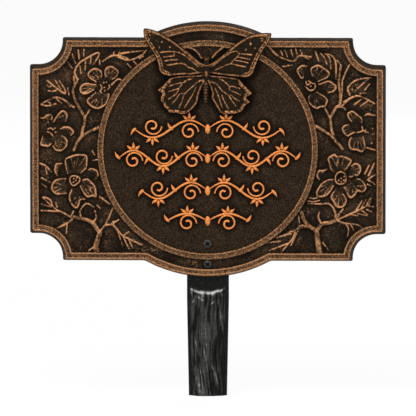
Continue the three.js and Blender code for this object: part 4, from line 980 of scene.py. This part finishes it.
hindDrawings = {
    -1: dict(
        outline=[
            (205.4, 73.4), (199, 74.6), (192.8, 75), (183.4, 75.2), (175.4, 76.1), (170.6, 77.5),
            (167, 80.6), (164, 84), (160.3, 87.3), (157.2, 90), (161.3, 92.6), (161.9, 94.3),
            (160.1, 98.4), (162, 102.3), (164.3, 106.6), (166.8, 109.2), (170.2, 112.8), (175.4, 112.7),
            (182.6, 114.4), (187.8, 112.9), (193, 108.7), (197.6, 102.8), (199, 96.2), (200.9, 90.4),
            (203.4, 85), (205.4, 81.2)],
        veins=[
            [(193.2, 78.4), (187.7, 79.8), (183.4, 82.7), (179.7, 87.5), (177.7, 91.5), (175.4, 94.4),
             (168.8, 98.7)],
            [(183.4, 82.7), (180.5, 82.8), (174.6, 84.2), (169.5, 85.8)],
            [(178.6, 88.5), (174.6, 89.6), (168.5, 91.5)],
            [(203.4, 79.5), (197.9, 82), (193.2, 86), (189.2, 89.6), (185.2, 93.3), (183.4, 96.9),
             (181.9, 102), (179, 107.1)],
            [(185.2, 93.3), (181.2, 93.6), (178.6, 95.1), (176.1, 99.5), (171.7, 103.8)],
            [(196.1, 87.5), (193.2, 93.6), (189.9, 99.1), (187, 103.8), (184.8, 107.3)]],
        webs=[],
        spots=[]),
    1: dict(
        outline=[
            (207.4, 73.4), (212.3, 75), (223.9, 76), (233.9, 77.3), (238.9, 78.5), (241.8, 81.8),
            (245, 85), (248.7, 89), (252.6, 93.2), (248, 96.4), (247, 98.2), (250.6, 101.8), (247, 104.5),
            (244.4, 107), (243.7, 109.7), (238.6, 113), (231.5, 114), (227.2, 113.7), (223.9, 114.6),
            (219.7, 112), (217, 107.6), (214.3, 103.3), (211.5, 98.2), (211.8, 93.2), (210.4, 88.6),
            (209, 85), (207.4, 81.2)],
        veins=[
            [(219.6, 78.6), (223.9, 80.9), (227.2, 83.9), (229.9, 86.3), (233.2, 86.3), (236.5, 87.4),
             (240.2, 88.2)],
            [(229.7, 86.6), (229.7, 89.6), (232.9, 91.2), (237.2, 92.9), (240.5, 94.9)],
            [(210.6, 81.9), (215.6, 83.3), (218.9, 86.3), (222.2, 90.6), (226.6, 93.5), (229.2, 95.7),
             (231.2, 94.9), (233.9, 97.5), (239.2, 100.8)],
            [(229.5, 96.2), (232.2, 100.5), (236.2, 105.8)],
            [(222.1, 95.2), (223.6, 99.2), (226.6, 104.8), (228.5, 108.5)],
            [(215.3, 88.6), (217.9, 93.9), (219.9, 99.9), (222.2, 107.5)]],
        webs=[],
        spots=[])}


def onWing(points, side):
    # from the reference picture to the butterfly's own place, with both wings laid to the right;
    # the wings stand nearer to the camera than the plate's field, so the picture shows them a little lower
    b = butterfly
    turn = math.radians(-b["turn"])
    x, y = (onPlate(points) + (0, b["nearer"]) - b["centre"]).T
    return np.column_stack([
        side * (x * math.cos(turn) - y * math.sin(turn)), x * math.sin(turn) + y * math.cos(turn)])


wings = []
for wing, drawings in ((hindWing, hindDrawings), (foreWing, foreDrawings)):
    for side, drawn in drawings.items():
        laid = {name: [onWing(route, side) for route in drawn[name]] for name in ("veins", "webs")}
        spots = [(*onWing([(x, y)], side)[0], radius) for x, y, radius in drawn["spots"]]
        wings.append((dict(wing, outline=onWing(drawn["outline"], side), spots=spots, **laid), side))


def butterflyPlace(points):
    # from the butterfly's own place to the plate
    b = butterfly
    turn = math.radians(b["turn"])
    x, y, z = np.asarray(points, float).T
    return np.column_stack([
        b["centre"][0] + x * math.cos(turn) - y * math.sin(turn),
        b["centre"][1] + x * math.sin(turn) + y * math.cos(turn), z + b["back"]])


def onButterfly(shell):
    points, faces, rubAndPaintedLight = shell
    return butterflyPlace(points), faces, rubAndPaintedLight


# Round field, with painted shade around the ornament and painted shadow under the edges of the wings
field = dict(
    step=0.9, reach=112, ground=-0.1, grain=0.14, underRing=3, shade=0.9, mostShade=0.75,
    ornamentShadeStroke=(1.6, 1.6, 1.2, 0), wingShadowStroke=(3.4, 3.4, 0.65, 0))  # strokes that only shade the ground


def roundField():
    f = field
    count = int(f["reach"] / f["step"])
    places = np.arange(-count, count + 1) * f["step"]
    x, y = np.meshgrid(places, places, indexing="ij")
    flat = x.ravel(), y.ravel()
    relief = newRelief(flat[0])
    for tier in scroll["tiers"]:
        for route, _ in scrollTier(*tier):
            for side in (-1, 1):
                addStroke(relief, *flat, (route * (side, 1))[::3], *f["ornamentShadeStroke"])
    for wing, side in wings:
        outline = butterflyPlace([(side * px, py, 0) for px, py in wing["outline"]])[:, :2]
        addStroke(relief, *flat, outline, *f["wingShadowStroke"])
    # painted shade round the ornament and painted shadow under the wings' edges, blurred from strokes that
    # raise nothing
    shade = softened(relief["height"].reshape(x.shape), 2) / f["shade"]
    rubAndPaintedLight = f["ground"] - np.clip(shade, 0, f["mostShade"])
    grain = castNoise(x, y, 2.2, seed=31) + castNoise(x, y, 6, seed=32)
    inside = np.hypot(x, y) < ring["inner"] + f["underRing"]
    return slabShell(x, y, wholeCells(inside), fieldHeight + f["grain"] * grain, fieldHeight - footDepth, rubAndPaintedLight)


makePiece("round_field", [roundField()], bronzePlate, "plaque_plate", crease=70)


def wingLoop(wing):
    # the outline as a closed loop, the length run along its drawn edge, and where its margin starts and ends
    edge = smoothRoute(wing["outline"], 0.75)
    loop = np.vstack([edge, np.linspace(edge[-1], edge[0], 8)[1:-1]])
    run = np.concatenate([[0], np.cumsum(np.hypot(*np.diff(edge, axis=0).T))])
    first, last = (run[-1] * share for share in wing["margin"])
    if wing["scallops"]:
        swing = np.abs(np.sin(math.pi * wing["scallops"] * (run - first) / (last - first)))
        inMargin = (run > first) & (run < last)
        outward = edge - wing["heart"]
        outward = outward / np.linalg.norm(outward, axis=1)[:, None]
        loop[:len(edge)] += outward * (inMargin * (swing - 0.5) * butterfly["scallop"])[:, None]
    return loop, run, first, last


def wingShell(wing, side):
    # a thin casting with a raised and pitted margin, and veins that stand on its dark ground
    b = butterfly
    loop, run, first, last = wingLoop(wing)
    heart = np.array(wing["heart"], float)
    shares = 1 - np.concatenate([[0, 0.006, 0.016, 0.03], np.linspace(0.05, 1, 46)[:-1] ** 1.15])
    rings = heart + (loop - heart) * shares[:, None, None]  # from the edge in towards the heart
    x, y = rings[..., 0].ravel(), rings[..., 1].ravel()
    gap, share = nearest(x, y, loop[:len(run)])
    along = share * run[-1]
    relief = newRelief(x)
    for kind in ("veins", "webs"):
        for route in wing[kind]:
            addStroke(relief, x, y, route, *b[kind])
    for spotX, spotY, radius in wing["spots"]:
        dot = [(spotX, spotY), (spotX + 0.3, spotY + 0.1)]
        addStroke(relief, x, y, dot, radius, radius, *b["spots"])
    inMargin = smooth((along - first) / b["marginEase"]) * smooth((last - along) / b["marginEase"])
    grown = wing["narrow"] + (1 - wing["narrow"]) * smooth((along - first) / (last - first))
    leading, rear = wing["edges"]
    plain = leading + (rear - leading) * smooth((along - last) / b["marginEase"])
    width = plain + (wing["band"] * grown - plain) * inMargin
    clear = 1 - inMargin * smooth((width + b["groove"] - gap) / 0.7)  # a groove parts veins from margin
    relief["height"] *= clear
    relief["shine"] *= clear
    crest = np.clip(1 - np.abs(gap / width - 0.5) / 0.5, 0, 1) ** 0.6
    band = crest * (b["edgeRise"] + (b["bandRise"] - b["edgeRise"]) * inMargin)
    dip = wing["dip"] * np.exp(-(((gap / width - 0.66) / 0.15) ** 2))  # parts the margin into two lines
    onBand = smooth((width - gap) / 0.7) * smooth((gap - wing["wall"] + 0.4) / 0.4)
    onBand = b["bandShine"] * (1 - dip) * onBand
    pitNumber = np.floor(along / wing["pitStep"])
    stray = 1.3 * castNoise(pitNumber * 3.7, 0, 1, seed=43)  # sets each pit off its place
    pitGap = np.hypot(gap - 0.62 * width + stray, (along % wing["pitStep"]) - wing["pitStep"] / 2 + stray)
    pit = inMargin * smooth((along - first) / wing["pitsFrom"]) * smooth((b["pitRadius"] - pitGap) / 0.5)
    height = np.maximum(relief["height"], band * (1 - dip / 2)) - b["pitDepth"] * pit
    height = b["thickness"] + (height + b["grain"] * castNoise(x, y, 1.6, seed=41))
    height = height * (b["edgeShare"] + (1 - b["edgeShare"]) * smooth(gap / wing["wall"]))  # a rounded edge
    # painted shade along the crease at the foot of the margin
    paintedHollowShade = np.exp(-(((gap - width - 0.6) / 0.7) ** 2))  # the line where the margin's foot meets the wing
    wear = b["wear"] + b["wearSwing"] * castNoise(x, y, b["wearMm"], seed=42)
    rubAndPaintedLight = b["ground"] + np.maximum(onBand, relief["shine"]) * wear - b["pitDark"] * pit - b["paintedHollowShadeDark"] * paintedHollowShade
    stipple = np.maximum(castNoise(x, y, 1.6, seed=44), 0)
    rubAndPaintedLight += wing["stipple"] * smooth((y - b["stippleFrom"]) / 8) * stipple  # copper dabs near the tip
    top = np.column_stack([x, y, height]).reshape(len(shares), len(loop), 3)
    under = np.column_stack([loop, np.zeros(len(loop))])[None]
    shade = np.concatenate([np.full((1, len(loop)), b["underRub"]), rubAndPaintedLight.reshape(len(shares), len(loop))])
    points, faces, rubAndPaintedLight = loftShell(np.concatenate([under, top]), shade)
    points[:, 2] += np.tan(math.radians(b["lift"])) * points[:, 0]
    points[:, 0] *= side
    return onButterfly((points, faces, rubAndPaintedLight))


body = dict(
    sections=[  # along from the thorax, half width and height
        (17.2, 0.8, 2), (16.2, 2.4, 4.2), (14.5, 3.2, 5.2), (12.2, 2.7, 4.8), (10.6, 2.6, 4.8), (8, 3.6, 6),
        (4, 4.6, 7.5), (-1, 4.5, 7.5), (-5.5, 3.2, 6.6), (-8, 2.6, 5.4), (-13, 3, 5.4), (-20, 2.9, 5.2),
        (-26, 2.4, 4.2), (-30, 1.4, 2.9), (-32, 0.6, 1.8)],
    bellyFrom=-8, ringStep=3.1, ringSwell=0.07, hairs=22, hairSwell=0.05,
    eye=(2.3, 15.2), eyeRadius=1.35,
    collar=[(-22, 22), (-12, 13.2), (-6, 8.7), (0, 7), (6, 8.7), (12, 13.2), (22, 22)])


def bodyShell():
    # a ringed belly, a hairy back rubbed bright on its crown, and a head
    turn = np.linspace(0, math.pi, 34)
    loops, rubsAndPaintedLight = [], []
    for y, half, tall in smoothRoute(body["sections"], 0.4):
        belly = smooth((body["bellyFrom"] - y) / 3)
        wave = np.cos(2 * math.pi * y / body["ringStep"])
        tuft = np.cos(turn * body["hairs"] + 3 * castNoise(turn * 4, y, 2.5, seed=51))
        swell = (1 + body["ringSwell"] * belly * wave) * (1 + body["hairSwell"] * (1 - belly) * tuft)
        x = half * swell * np.cos(turn)
        loops.append(np.column_stack([x, np.full(len(turn), y), tall * swell * np.sin(turn) ** 0.8]))
        ridge = belly * (0.16 + 0.14 * wave) + 0.15 * (1 - belly) ** 2 * tuft
        # bright along the back, most over the thorax, and on top of the head
        spine = np.exp(-((x / 1.5) ** 2)) * (1.1 * math.exp(-(((y + 1) / 3.2) ** 2)) + 0.25 * belly)
        crown = 0.7 * math.exp(-(((y - 13.5) / 2.4) ** 2)) * np.sin(turn)
        rubsAndPaintedLight.append(-0.2 + ridge + spine + crown - 0.2 * (np.sin(turn) < 0.35))
    return loftShell(loops, rubsAndPaintedLight)


def butterflyBody():
    # the body, two eyes, the ridge across both fore wings, and the two bosses behind
    shells = [bodyShell()]
    eyeX, eyeY = body["eye"]
    for side in (-1, 1):
        eye = [circle(body["eyeRadius"] * share, z, 16, side * eyeX, eyeY)
               for share, z in ((0.7, 3.2), (1, 4.6), (0.85, 5.6), (0.5, 6.2), (0.15, 6.4))]
        shells.append(loftShell(eye, [-0.2, -0.1, 0, 0.1, 0.1]))
    collar = smoothRoute(body["collar"], 0.6)
    reach = np.abs(collar[:, 0])
    crests = 4.6 + 2.4 * np.exp(-((reach / 5) ** 2)) - 0.04 * reach
    shells.append(ridgeShell(collar, 1.3 - 0.04 * reach, 2, crests, 0.42))
    for place in butterfly["bosses"].values():
        boss = [circle(radius, z, 16, 0, place)
                for radius, z in ((3.6, -2.7), (4, -2.3), (4, 0.8), (3.4, 1.4))]
        shells.append(loftShell(boss, [-0.3] * len(boss)))
    return [onButterfly(shell) for shell in shells]


casting = [wingShell(wing, side) for wing, side in wings] + butterflyBody()
makePiece("butterfly_casting", casting, bronzeButterfly, "butterfly", crease=60)


def antennae():
    # two feelers on the field, thicker towards their ends
    b = butterfly
    shells = []
    for feeler in b["feelers"]:
        route = smoothRoute(butterflyPlace([(x, y, 0) for x, y in feeler])[:, :2], 0.8)
        share = np.linspace(0, 1, len(route))
        halves = b["feelerHalf"] + b["feelerClub"] * smooth((share - 0.7) / 0.3)
        crests = b["feelerTop"] + b["feelerRise"] * share
        shells.append(ridgeShell(route, halves, fieldHeight - 0.6, crests, b["feelerRub"]))
    return shells


makePiece("antennae", antennae(), bronzePlate, "plaque_plate")

# Stake, from the soil up, with z out from the plane of the plate's back
stake = dict(
    tabTop=plateUp - 85.6, shoulder=plateUp - 143.3, taperFrom=plateUp - 156, tip=plateUp - 542.6,
    halfWidth=21.6, taper=0.0196, tabFront=-0.3, tabBack=-4.8, flangeBack=-12.3, flange=4, ease=0.7, sag=4.5,
    lip=1.8, border=3.4, bulge=7.5, pointLength=75, blunt=0.07, strand=3.1, strandLength=46,
    broadDepth=1.5, strandDepth=1.3, fineDepth=0.8, hewnDepth=1.6, sways=(9, 2.5),
    chipWeight=(1.2, 1.5, 1.7), chipHighlight=0.36,  # half width at both ends and rise
    # painted highlight and route of each long chip: across from the middle, and down from the shoulder
    chips=[
        (1.1, [(-11.5, 7.5), (-13.9, 12), (-15.7, 17)]),
        (0.6, [(-11, 9), (-6, 13), (-3, 14)]),
        (0.9, [(8.4, 13.2), (5, 16), (1, 19.4)]),
        (0.4, [(-12.9, 22.5), (-14.4, 29)]),
        (0.5, [(-7.5, 40), (-6.5, 50), (-4.5, 60), (-3, 70), (-1, 80), (0.5, 89), (1, 98), (-0.5, 110)]),
        (0.42, [(5.5, 38), (5.5, 47), (4.5, 55), (4, 65), (3.5, 75), (4.5, 83), (3.5, 93), (2, 103),
                (3, 112)]),
        (0.62, [(-15.4, 46), (-13.9, 53), (-11.9, 61), (-10.9, 68)]),
        (0.62, [(8.7, 59), (9.9, 70), (11.1, 80), (11.7, 90)]),
        (0.55, [(4, 81), (8, 88), (10.9, 98), (13.9, 112)]),
        (0.65, [(12.9, 19), (14.2, 33), (16.1, 43), (17.4, 51)]),
        (0.36, [(-9.9, 74), (-8.5, 85), (-6.5, 95), (-6, 110)]),
        (0.5, [(-11.4, 89), (-13.9, 99), (-15.9, 112)]),
        (0.36, [(-10.9, 92), (-9.7, 101), (-10.1, 112)]),
        (0.3, [(-3, 33), (-2, 45), (-0.5, 56)]),
        (0.34, [(9.9, 20), (8.4, 29), (8.9, 38)])])


def barkRelief(across, levels):
    # the hewn front: strands that run down the stake, sway and split, with long chips standing proud that
    # carry a painted highlight
    s = stake
    level, a = np.meshgrid(levels, across * (s["halfWidth"] - s["border"]), indexing="ij")
    wide, narrow = s["sways"]
    sway = wide * castNoise(a / 3, level, 52, seed=61) + narrow * castNoise(a, level, 17, seed=62)
    # from the broadest swells to the finest cracks, and chopped marks near the shoulder
    broad = castNoise((a + sway) / 7.5, level / 70, 1, seed=63)
    strands = 0.5 - np.abs(castNoise((a + sway) / s["strand"], level / s["strandLength"], 1, seed=64)) * 2
    fine = castNoise((a + sway * 1.3) / 1.3, level / 17, 1, seed=65)
    below = level - s["shoulder"]
    hewn = castNoise(a / 6, level / 6, 1, seed=66) * smooth((below + 36) / 30)
    relief = newRelief(level.ravel())
    for brightness, route in s["chips"]:
        places = [(x, s["shoulder"] - drop) for x, drop in route]
        shine = s["chipHighlight"] * brightness
        addStroke(relief, a.ravel(), level.ravel(), places, *s["chipWeight"], shine, taper=0.6)
    bark = s["broadDepth"] * broad + s["strandDepth"] * strands
    bark = bark + s["fineDepth"] * fine + s["hewnDepth"] * hewn
    under = smooth((below + 22) / 14)  # crumpled right under the shoulder
    crumpled = under * castNoise(a, level, 3.2, seed=70)
    low = smooth((60 - level) / 50)
    grain = castNoise((a + sway) / 0.9, level / 9, 1, seed=71)
    # painted highlight on the crests and painted shade in the grooves; the tone is also lighter down the
    # middle, under the shoulder and low down, and darker towards the right
    rubAndPaintedLight = np.clip(bark / 4.6 + 0.5 * fine + 0.35 * grain + 0.5 * crumpled, -0.45, 0.3)
    rubAndPaintedLight += 0.05 * np.exp(-(((a + 3) / 12) ** 2)) + 0.1 * under + 0.08 * low - 0.06 * smooth((a - 6) / 8)
    rubAndPaintedLight += relief["shine"].reshape(a.shape) * (0.9 + 0.7 * castNoise(a, level / 4, 3, seed=68))
    return bark + relief["height"].reshape(a.shape), rubAndPaintedLight


def stakeSection(level, across, bark, barkPaintedLight):
    # a channel with two flanges; below the shoulder the front bulges, and at the end all draws in to a point
    s = stake
    front, back, flange, ease = s["tabFront"], s["tabBack"], s["flangeBack"], s["ease"]
    half = s["halfWidth"] - s["taper"] * max(s["taperFrom"] - level, 0)
    inner = half - s["flange"]
    shoulder = s["shoulder"] - s["sag"] * (1 - across**2) + 1.5 * castNoise(across * 20, 0, 5, seed=67)
    below = shoulder - level
    lip = smooth(below / s["lip"])
    crown = np.sqrt(1 - (0.97 * across) ** 2)
    rise = lip * crown * (s["bulge"] - 1.2 + bark * smooth((below - 1) / 8)) + lip * crown * 0.6
    uneven = castNoise(across * 20, 0, 2.6, seed=69)
    lipHighlight = np.exp(-(((below - 1.1) / (1.2 + 0.5 * uneven - 0.2 * across)) ** 2))
    flank = np.array([
        (-inner + ease, back), (-inner, back - ease), (-inner, flange + ease), (-inner - ease, flange),
        (-half + ease, flange), (-half, flange + ease), (-half, -2), (-half, front - ease),
        (-half + ease, front), (-half + s["border"] - 0.3, front)])
    bulge = np.column_stack([across * (half - s["border"]), front + rise])
    x, z = np.vstack([flank, bulge, flank[::-1] * (-1, 1)]).T
    share = s["blunt"] + (1 - s["blunt"]) * min(max((level - s["tip"]) / s["pointLength"], 0), 1)
    points = np.column_stack([x * share, np.full(len(x), level), back + (z - back) * share])
    # painted highlight along the rolled top of the shoulder's lip, over the bark's painted light
    crest = barkPaintedLight * lip + lipHighlight * (0.98 + 0.4 * uneven) * crown
    plain = np.zeros(len(flank))
    return points, np.concatenate([plain, np.clip(crest, -0.9, 1), plain])


def stakeShell():
    s = stake
    pointTop = s["tip"] + s["pointLength"]
    levels = np.concatenate([
        [s["tabTop"], s["tabTop"] - 0.8], np.linspace(s["tabTop"] - 6, s["shoulder"] + 3, 10),
        np.linspace(s["shoulder"] + 2, -14, 230),  # finest where it shows
        np.linspace(-16, pointTop, 60), np.linspace(pointTop - 2, s["tip"], 24)])
    across = np.sin(np.linspace(-0.5, 0.5, 96) * math.pi)
    bark, barkPaintedLight = barkRelief(across, levels)
    sections = [stakeSection(level, across, *row) for level, *row in zip(levels, bark, barkPaintedLight)]
    return loftShell([points for points, _ in sections], [rubAndPaintedLight for _, rubAndPaintedLight in sections])


makePiece("stake_casting", [stakeShell()], blackEnamel, "stake", up=0, crease=48)

# Fasteners
thread = dict(pitch=0.7, depth=0.24)
stakeScrew = dict(shank=2, head=4.1, headHeight=2.6, seat=fieldHeight + 0.3, end=-11.6, threadEnd=-2)
butterflyScrew = dict(shank=1.5, head=2.9, headHeight=2, seat=-2.7, end=-13, threadEnd=-2.7)
washer = dict(bore=2.2, outside=3.8, thick=1.0, front=-5.1, cut=0.28, spring=0.12)
nut = dict(bore=2.2, flat=3.5, thick=3.2, front=-6.4, chamfer=30)
stakeScrews = [("upper", 97.6, 0.5), ("lower", 118.85, 0.9)]  # how far below the plate's centre, and turn
roundSides = 72


def panScrew(shank, head, headHeight, seat, end, threadEnd):
    # a cross-recessed pan head on a threaded shank, standing on the z axis with its head up
    brimShare = 0.4  # of the head's height, below its dome
    turn = np.linspace(0, 2 * math.pi, roundSides, endpoint=False)
    loops = []
    for z in np.arange(end, seat, thread["pitch"] / 6):
        phase = (z / thread["pitch"] - turn / (2 * math.pi)) % 1
        groove = thread["depth"] * np.abs(2 * phase - 1) * (z < threadEnd)
        pointed = min(0.72 + 0.5 * (z - end) / shank, 1)
        loops.append(circle((shank - groove) * pointed, z, roundSides))
    brim = seat + headHeight * brimShare
    for radius, z in ((shank, seat), (head * 0.96, seat), (head, seat + 0.12), (head, brim)):
        loops.append(circle(radius, z, roundSides))
    rubsAndPaintedLight = [np.zeros(roundSides)] * len(loops)
    armHalf, armReach, recess = 0.2 * head, 0.64 * head, 1.2 / 2.6 * headHeight  # of the cross
    for share in np.linspace(0.99, 0.03, 30):
        dome = seat + headHeight * (brimShare + (1 - brimShare) * np.sqrt(1 - (0.98 * share) ** 2))
        loop = circle(head * share, dome, roundSides)
        fromArm = np.abs(loop[:, :2]).min(1)
        cut = smooth((armHalf - fromArm) / 0.16 + 0.5) * smooth((armReach - head * share) / 0.25)
        loop[:, 2] -= recess * cut
        loops.append(loop)
        # painted shade in the cross recess
        rubsAndPaintedLight.append(-0.8 * cut)
    return loftShell(loops, rubsAndPaintedLight)


def lockWasher():
    # a split spring washer, its cut ends sprung apart a little
    bore, outside, thick = washer["bore"], washer["outside"], washer["thick"]
    section = eased([
        (bore, -thick / 2), (bore, 0), (outside, 0), (outside, -thick), (bore, -thick), (bore, -thick / 2)],
        0.15, 3)[:-1]
    loops = []
    for share in np.linspace(0, 1, 60):
        turn = washer["cut"] / 2 + (2 * math.pi - washer["cut"]) * share
        z = washer["front"] + washer["spring"] * (1 - 2 * share)
        loops.append([(r * math.cos(turn), r * math.sin(turn), z + h) for r, h in section])
    return loftShell(loops, [0.0] * len(loops))


def hexNut():
    # chamfered at both ends and at both mouths of its bore
    bore, flat, front, back = nut["bore"], nut["flat"], nut["front"], nut["front"] - nut["thick"]
    turn = np.linspace(0, 2 * math.pi, roundSides, endpoint=False)
    corner = flat / np.cos((turn % (math.pi / 3)) - math.pi / 6)
    chamfer = np.maximum(corner - flat, 0) * math.tan(math.radians(nut["chamfer"]))
    middle, face, mouth = (front + back) / 2, flat * 0.97, 0.3
    section = [
        (bore, middle), (bore, front - mouth), (bore + mouth, front), (face, front),
        (corner, front - chamfer - 0.05), (corner, back + chamfer + 0.05),
        (face, back), (bore + mouth, back), (bore, back + mouth), (bore, middle)]
    loops = [circle(radius, z, roundSides) for radius, z in section]
    return closedTurn(loftShell(loops, [0.0] * len(loops), closed=False), roundSides)


def moved(shell, x, y, faceBack=False, turn=0.0):
    points, faces, rubAndPaintedLight = shell
    c, s = math.cos(turn), math.sin(turn)
    points = np.column_stack([
        points[:, 0] * c - points[:, 1] * s, points[:, 0] * s + points[:, 1] * c, points[:, 2]])
    if faceBack:
        points = points * (-1, 1, -1)
    return points + (x, y, 0), faces, rubAndPaintedLight


fasteners = [  # name, form, shell, extra turn, finish, slot and crease
    ("stake_screw", "threaded", panScrew(**stakeScrew), 0, darkZinc, "dark_zinc", 35),
    ("lock_washer", "split", lockWasher(), 1.1, brightZinc, "bright_zinc", 35),
    ("hex_nut", "chamfered", hexNut(), 0, brightZinc, "bright_zinc", 20)]
for place, drop, turn in stakeScrews:
    for kind, form, shell, extra, finish, slotName, crease in fasteners:
        node = f"{kind}_{place}"
        fastener = moved(shell, 0, -drop, turn=turn + extra)
        makePiece(f"{node}_{form}", [fastener], finish, node, crease=crease)
for place, along in butterfly["bosses"].items():
    node = f"butterfly_screw_{place}"
    x, y, _ = butterflyPlace([(0, along, 0)])[0]
    screw = moved(panScrew(**butterflyScrew), x, y, faceBack=True, turn=0.4)
    makePiece(f"{node}_threaded", [screw], brightZinc, node, crease=35)
print("pieces ready")

# Floor, light and camera, in metres
studio = dict(
    floorHalf=6, floorColour="#f4f3f1", floorGlow=0.92, sky=0.55,
    softboxes=dict(  # place, size and power
        key=((-0.6, -1.4, 2.2), 1.3, 43), front=((0.5, -2.6, 0.7), 1.6, 20), back=((0.7, 2.4, 1.1), 1.6, 24)))
view = dict(target=(0.00046, -0.0095, 0.1963), distance=12, azimuth=1.7, elevation=6.3, span=0.4297)
white = (1, 1, 1, 1)


def seenRays(tree):
    # 1 for what the camera sees, also in a gloss or through a clear piece, and 0 for light that only bounces
    rays = addNode(tree, "LightPath").outputs
    direct = reckoned(tree, "MAXIMUM", rays["Is Camera Ray"], rays["Is Glossy Ray"])
    return reckoned(tree, "MAXIMUM", direct, rays["Is Transmission Ray"])


half = studio["floorHalf"]
corners = [(-half, -half, 0), (half, -half, 0), (half, half, 0), (-half, half, 0)]
floorMesh = bpy.data.meshes.new("floor")
floorMesh.from_pydata(corners, [], [(0, 1, 2, 3)])
floor = bpy.data.objects.new("floor", floorMesh)
bpy.context.scene.collection.objects.link(floor)

# White paper lit from all sides: an even pale ground that keeps a soft shadow.
paper, paperTree = newMaterial("white_studio_paper")
share = reckoned(paperTree, "MULTIPLY", seenRays(paperTree), studio["floorGlow"])
matte = addNode(paperTree, "BsdfDiffuse", {"Color": toLinear(studio["floorColour"])})
glow = addNode(paperTree, "Emission", {"Color": white, "Strength": 1})
both = addNode(paperTree, "MixShader", {0: share, 1: matte.outputs[0], 2: glow.outputs[0]})
addNode(paperTree, "OutputMaterial", {"Surface": both.outputs[0]})
floorMesh.materials.append(paper)

world = bpy.data.worlds.new("studio")
bpy.context.scene.world = world
world.use_nodes = True
sky = world.node_tree
sky.nodes.clear()
level = mapped(sky, seenRays(sky), 0, 1, studio["sky"], 1)
light = addNode(sky, "Background", {"Color": white, "Strength": level})
addNode(sky, "OutputWorld", {"Surface": light.outputs[0]})

for name, (place, size, power) in studio["softboxes"].items():
    lamp = bpy.data.lights.new(name + "_softbox", "AREA")
    lamp.size = size
    lamp.energy = power
    holder = bpy.data.objects.new(name + "_softbox", lamp)
    holder.location = place
    holder.rotation_euler = (Vector(view["target"]) - holder.location).to_track_quat("-Z", "Y").to_euler()
    bpy.context.scene.collection.objects.link(holder)

lens = bpy.data.cameras.new("camera")
lens.sensor_width = 36
lens.lens = lens.sensor_width * view["distance"] / view["span"]
camera = bpy.data.objects.new("camera", lens)
azimuth, elevation = math.radians(view["azimuth"]), math.radians(view["elevation"])
outward = Vector((
    math.sin(azimuth) * math.cos(elevation), -math.cos(azimuth) * math.cos(elevation), math.sin(elevation)))
camera.location = Vector(view["target"]) + outward * view["distance"]
camera.rotation_euler = (-outward).to_track_quat("-Z", "Y").to_euler()
bpy.context.scene.collection.objects.link(camera)
bpy.context.scene.camera = camera
bpy.context.scene.view_settings.view_transform = "Standard"
print("stage ready")
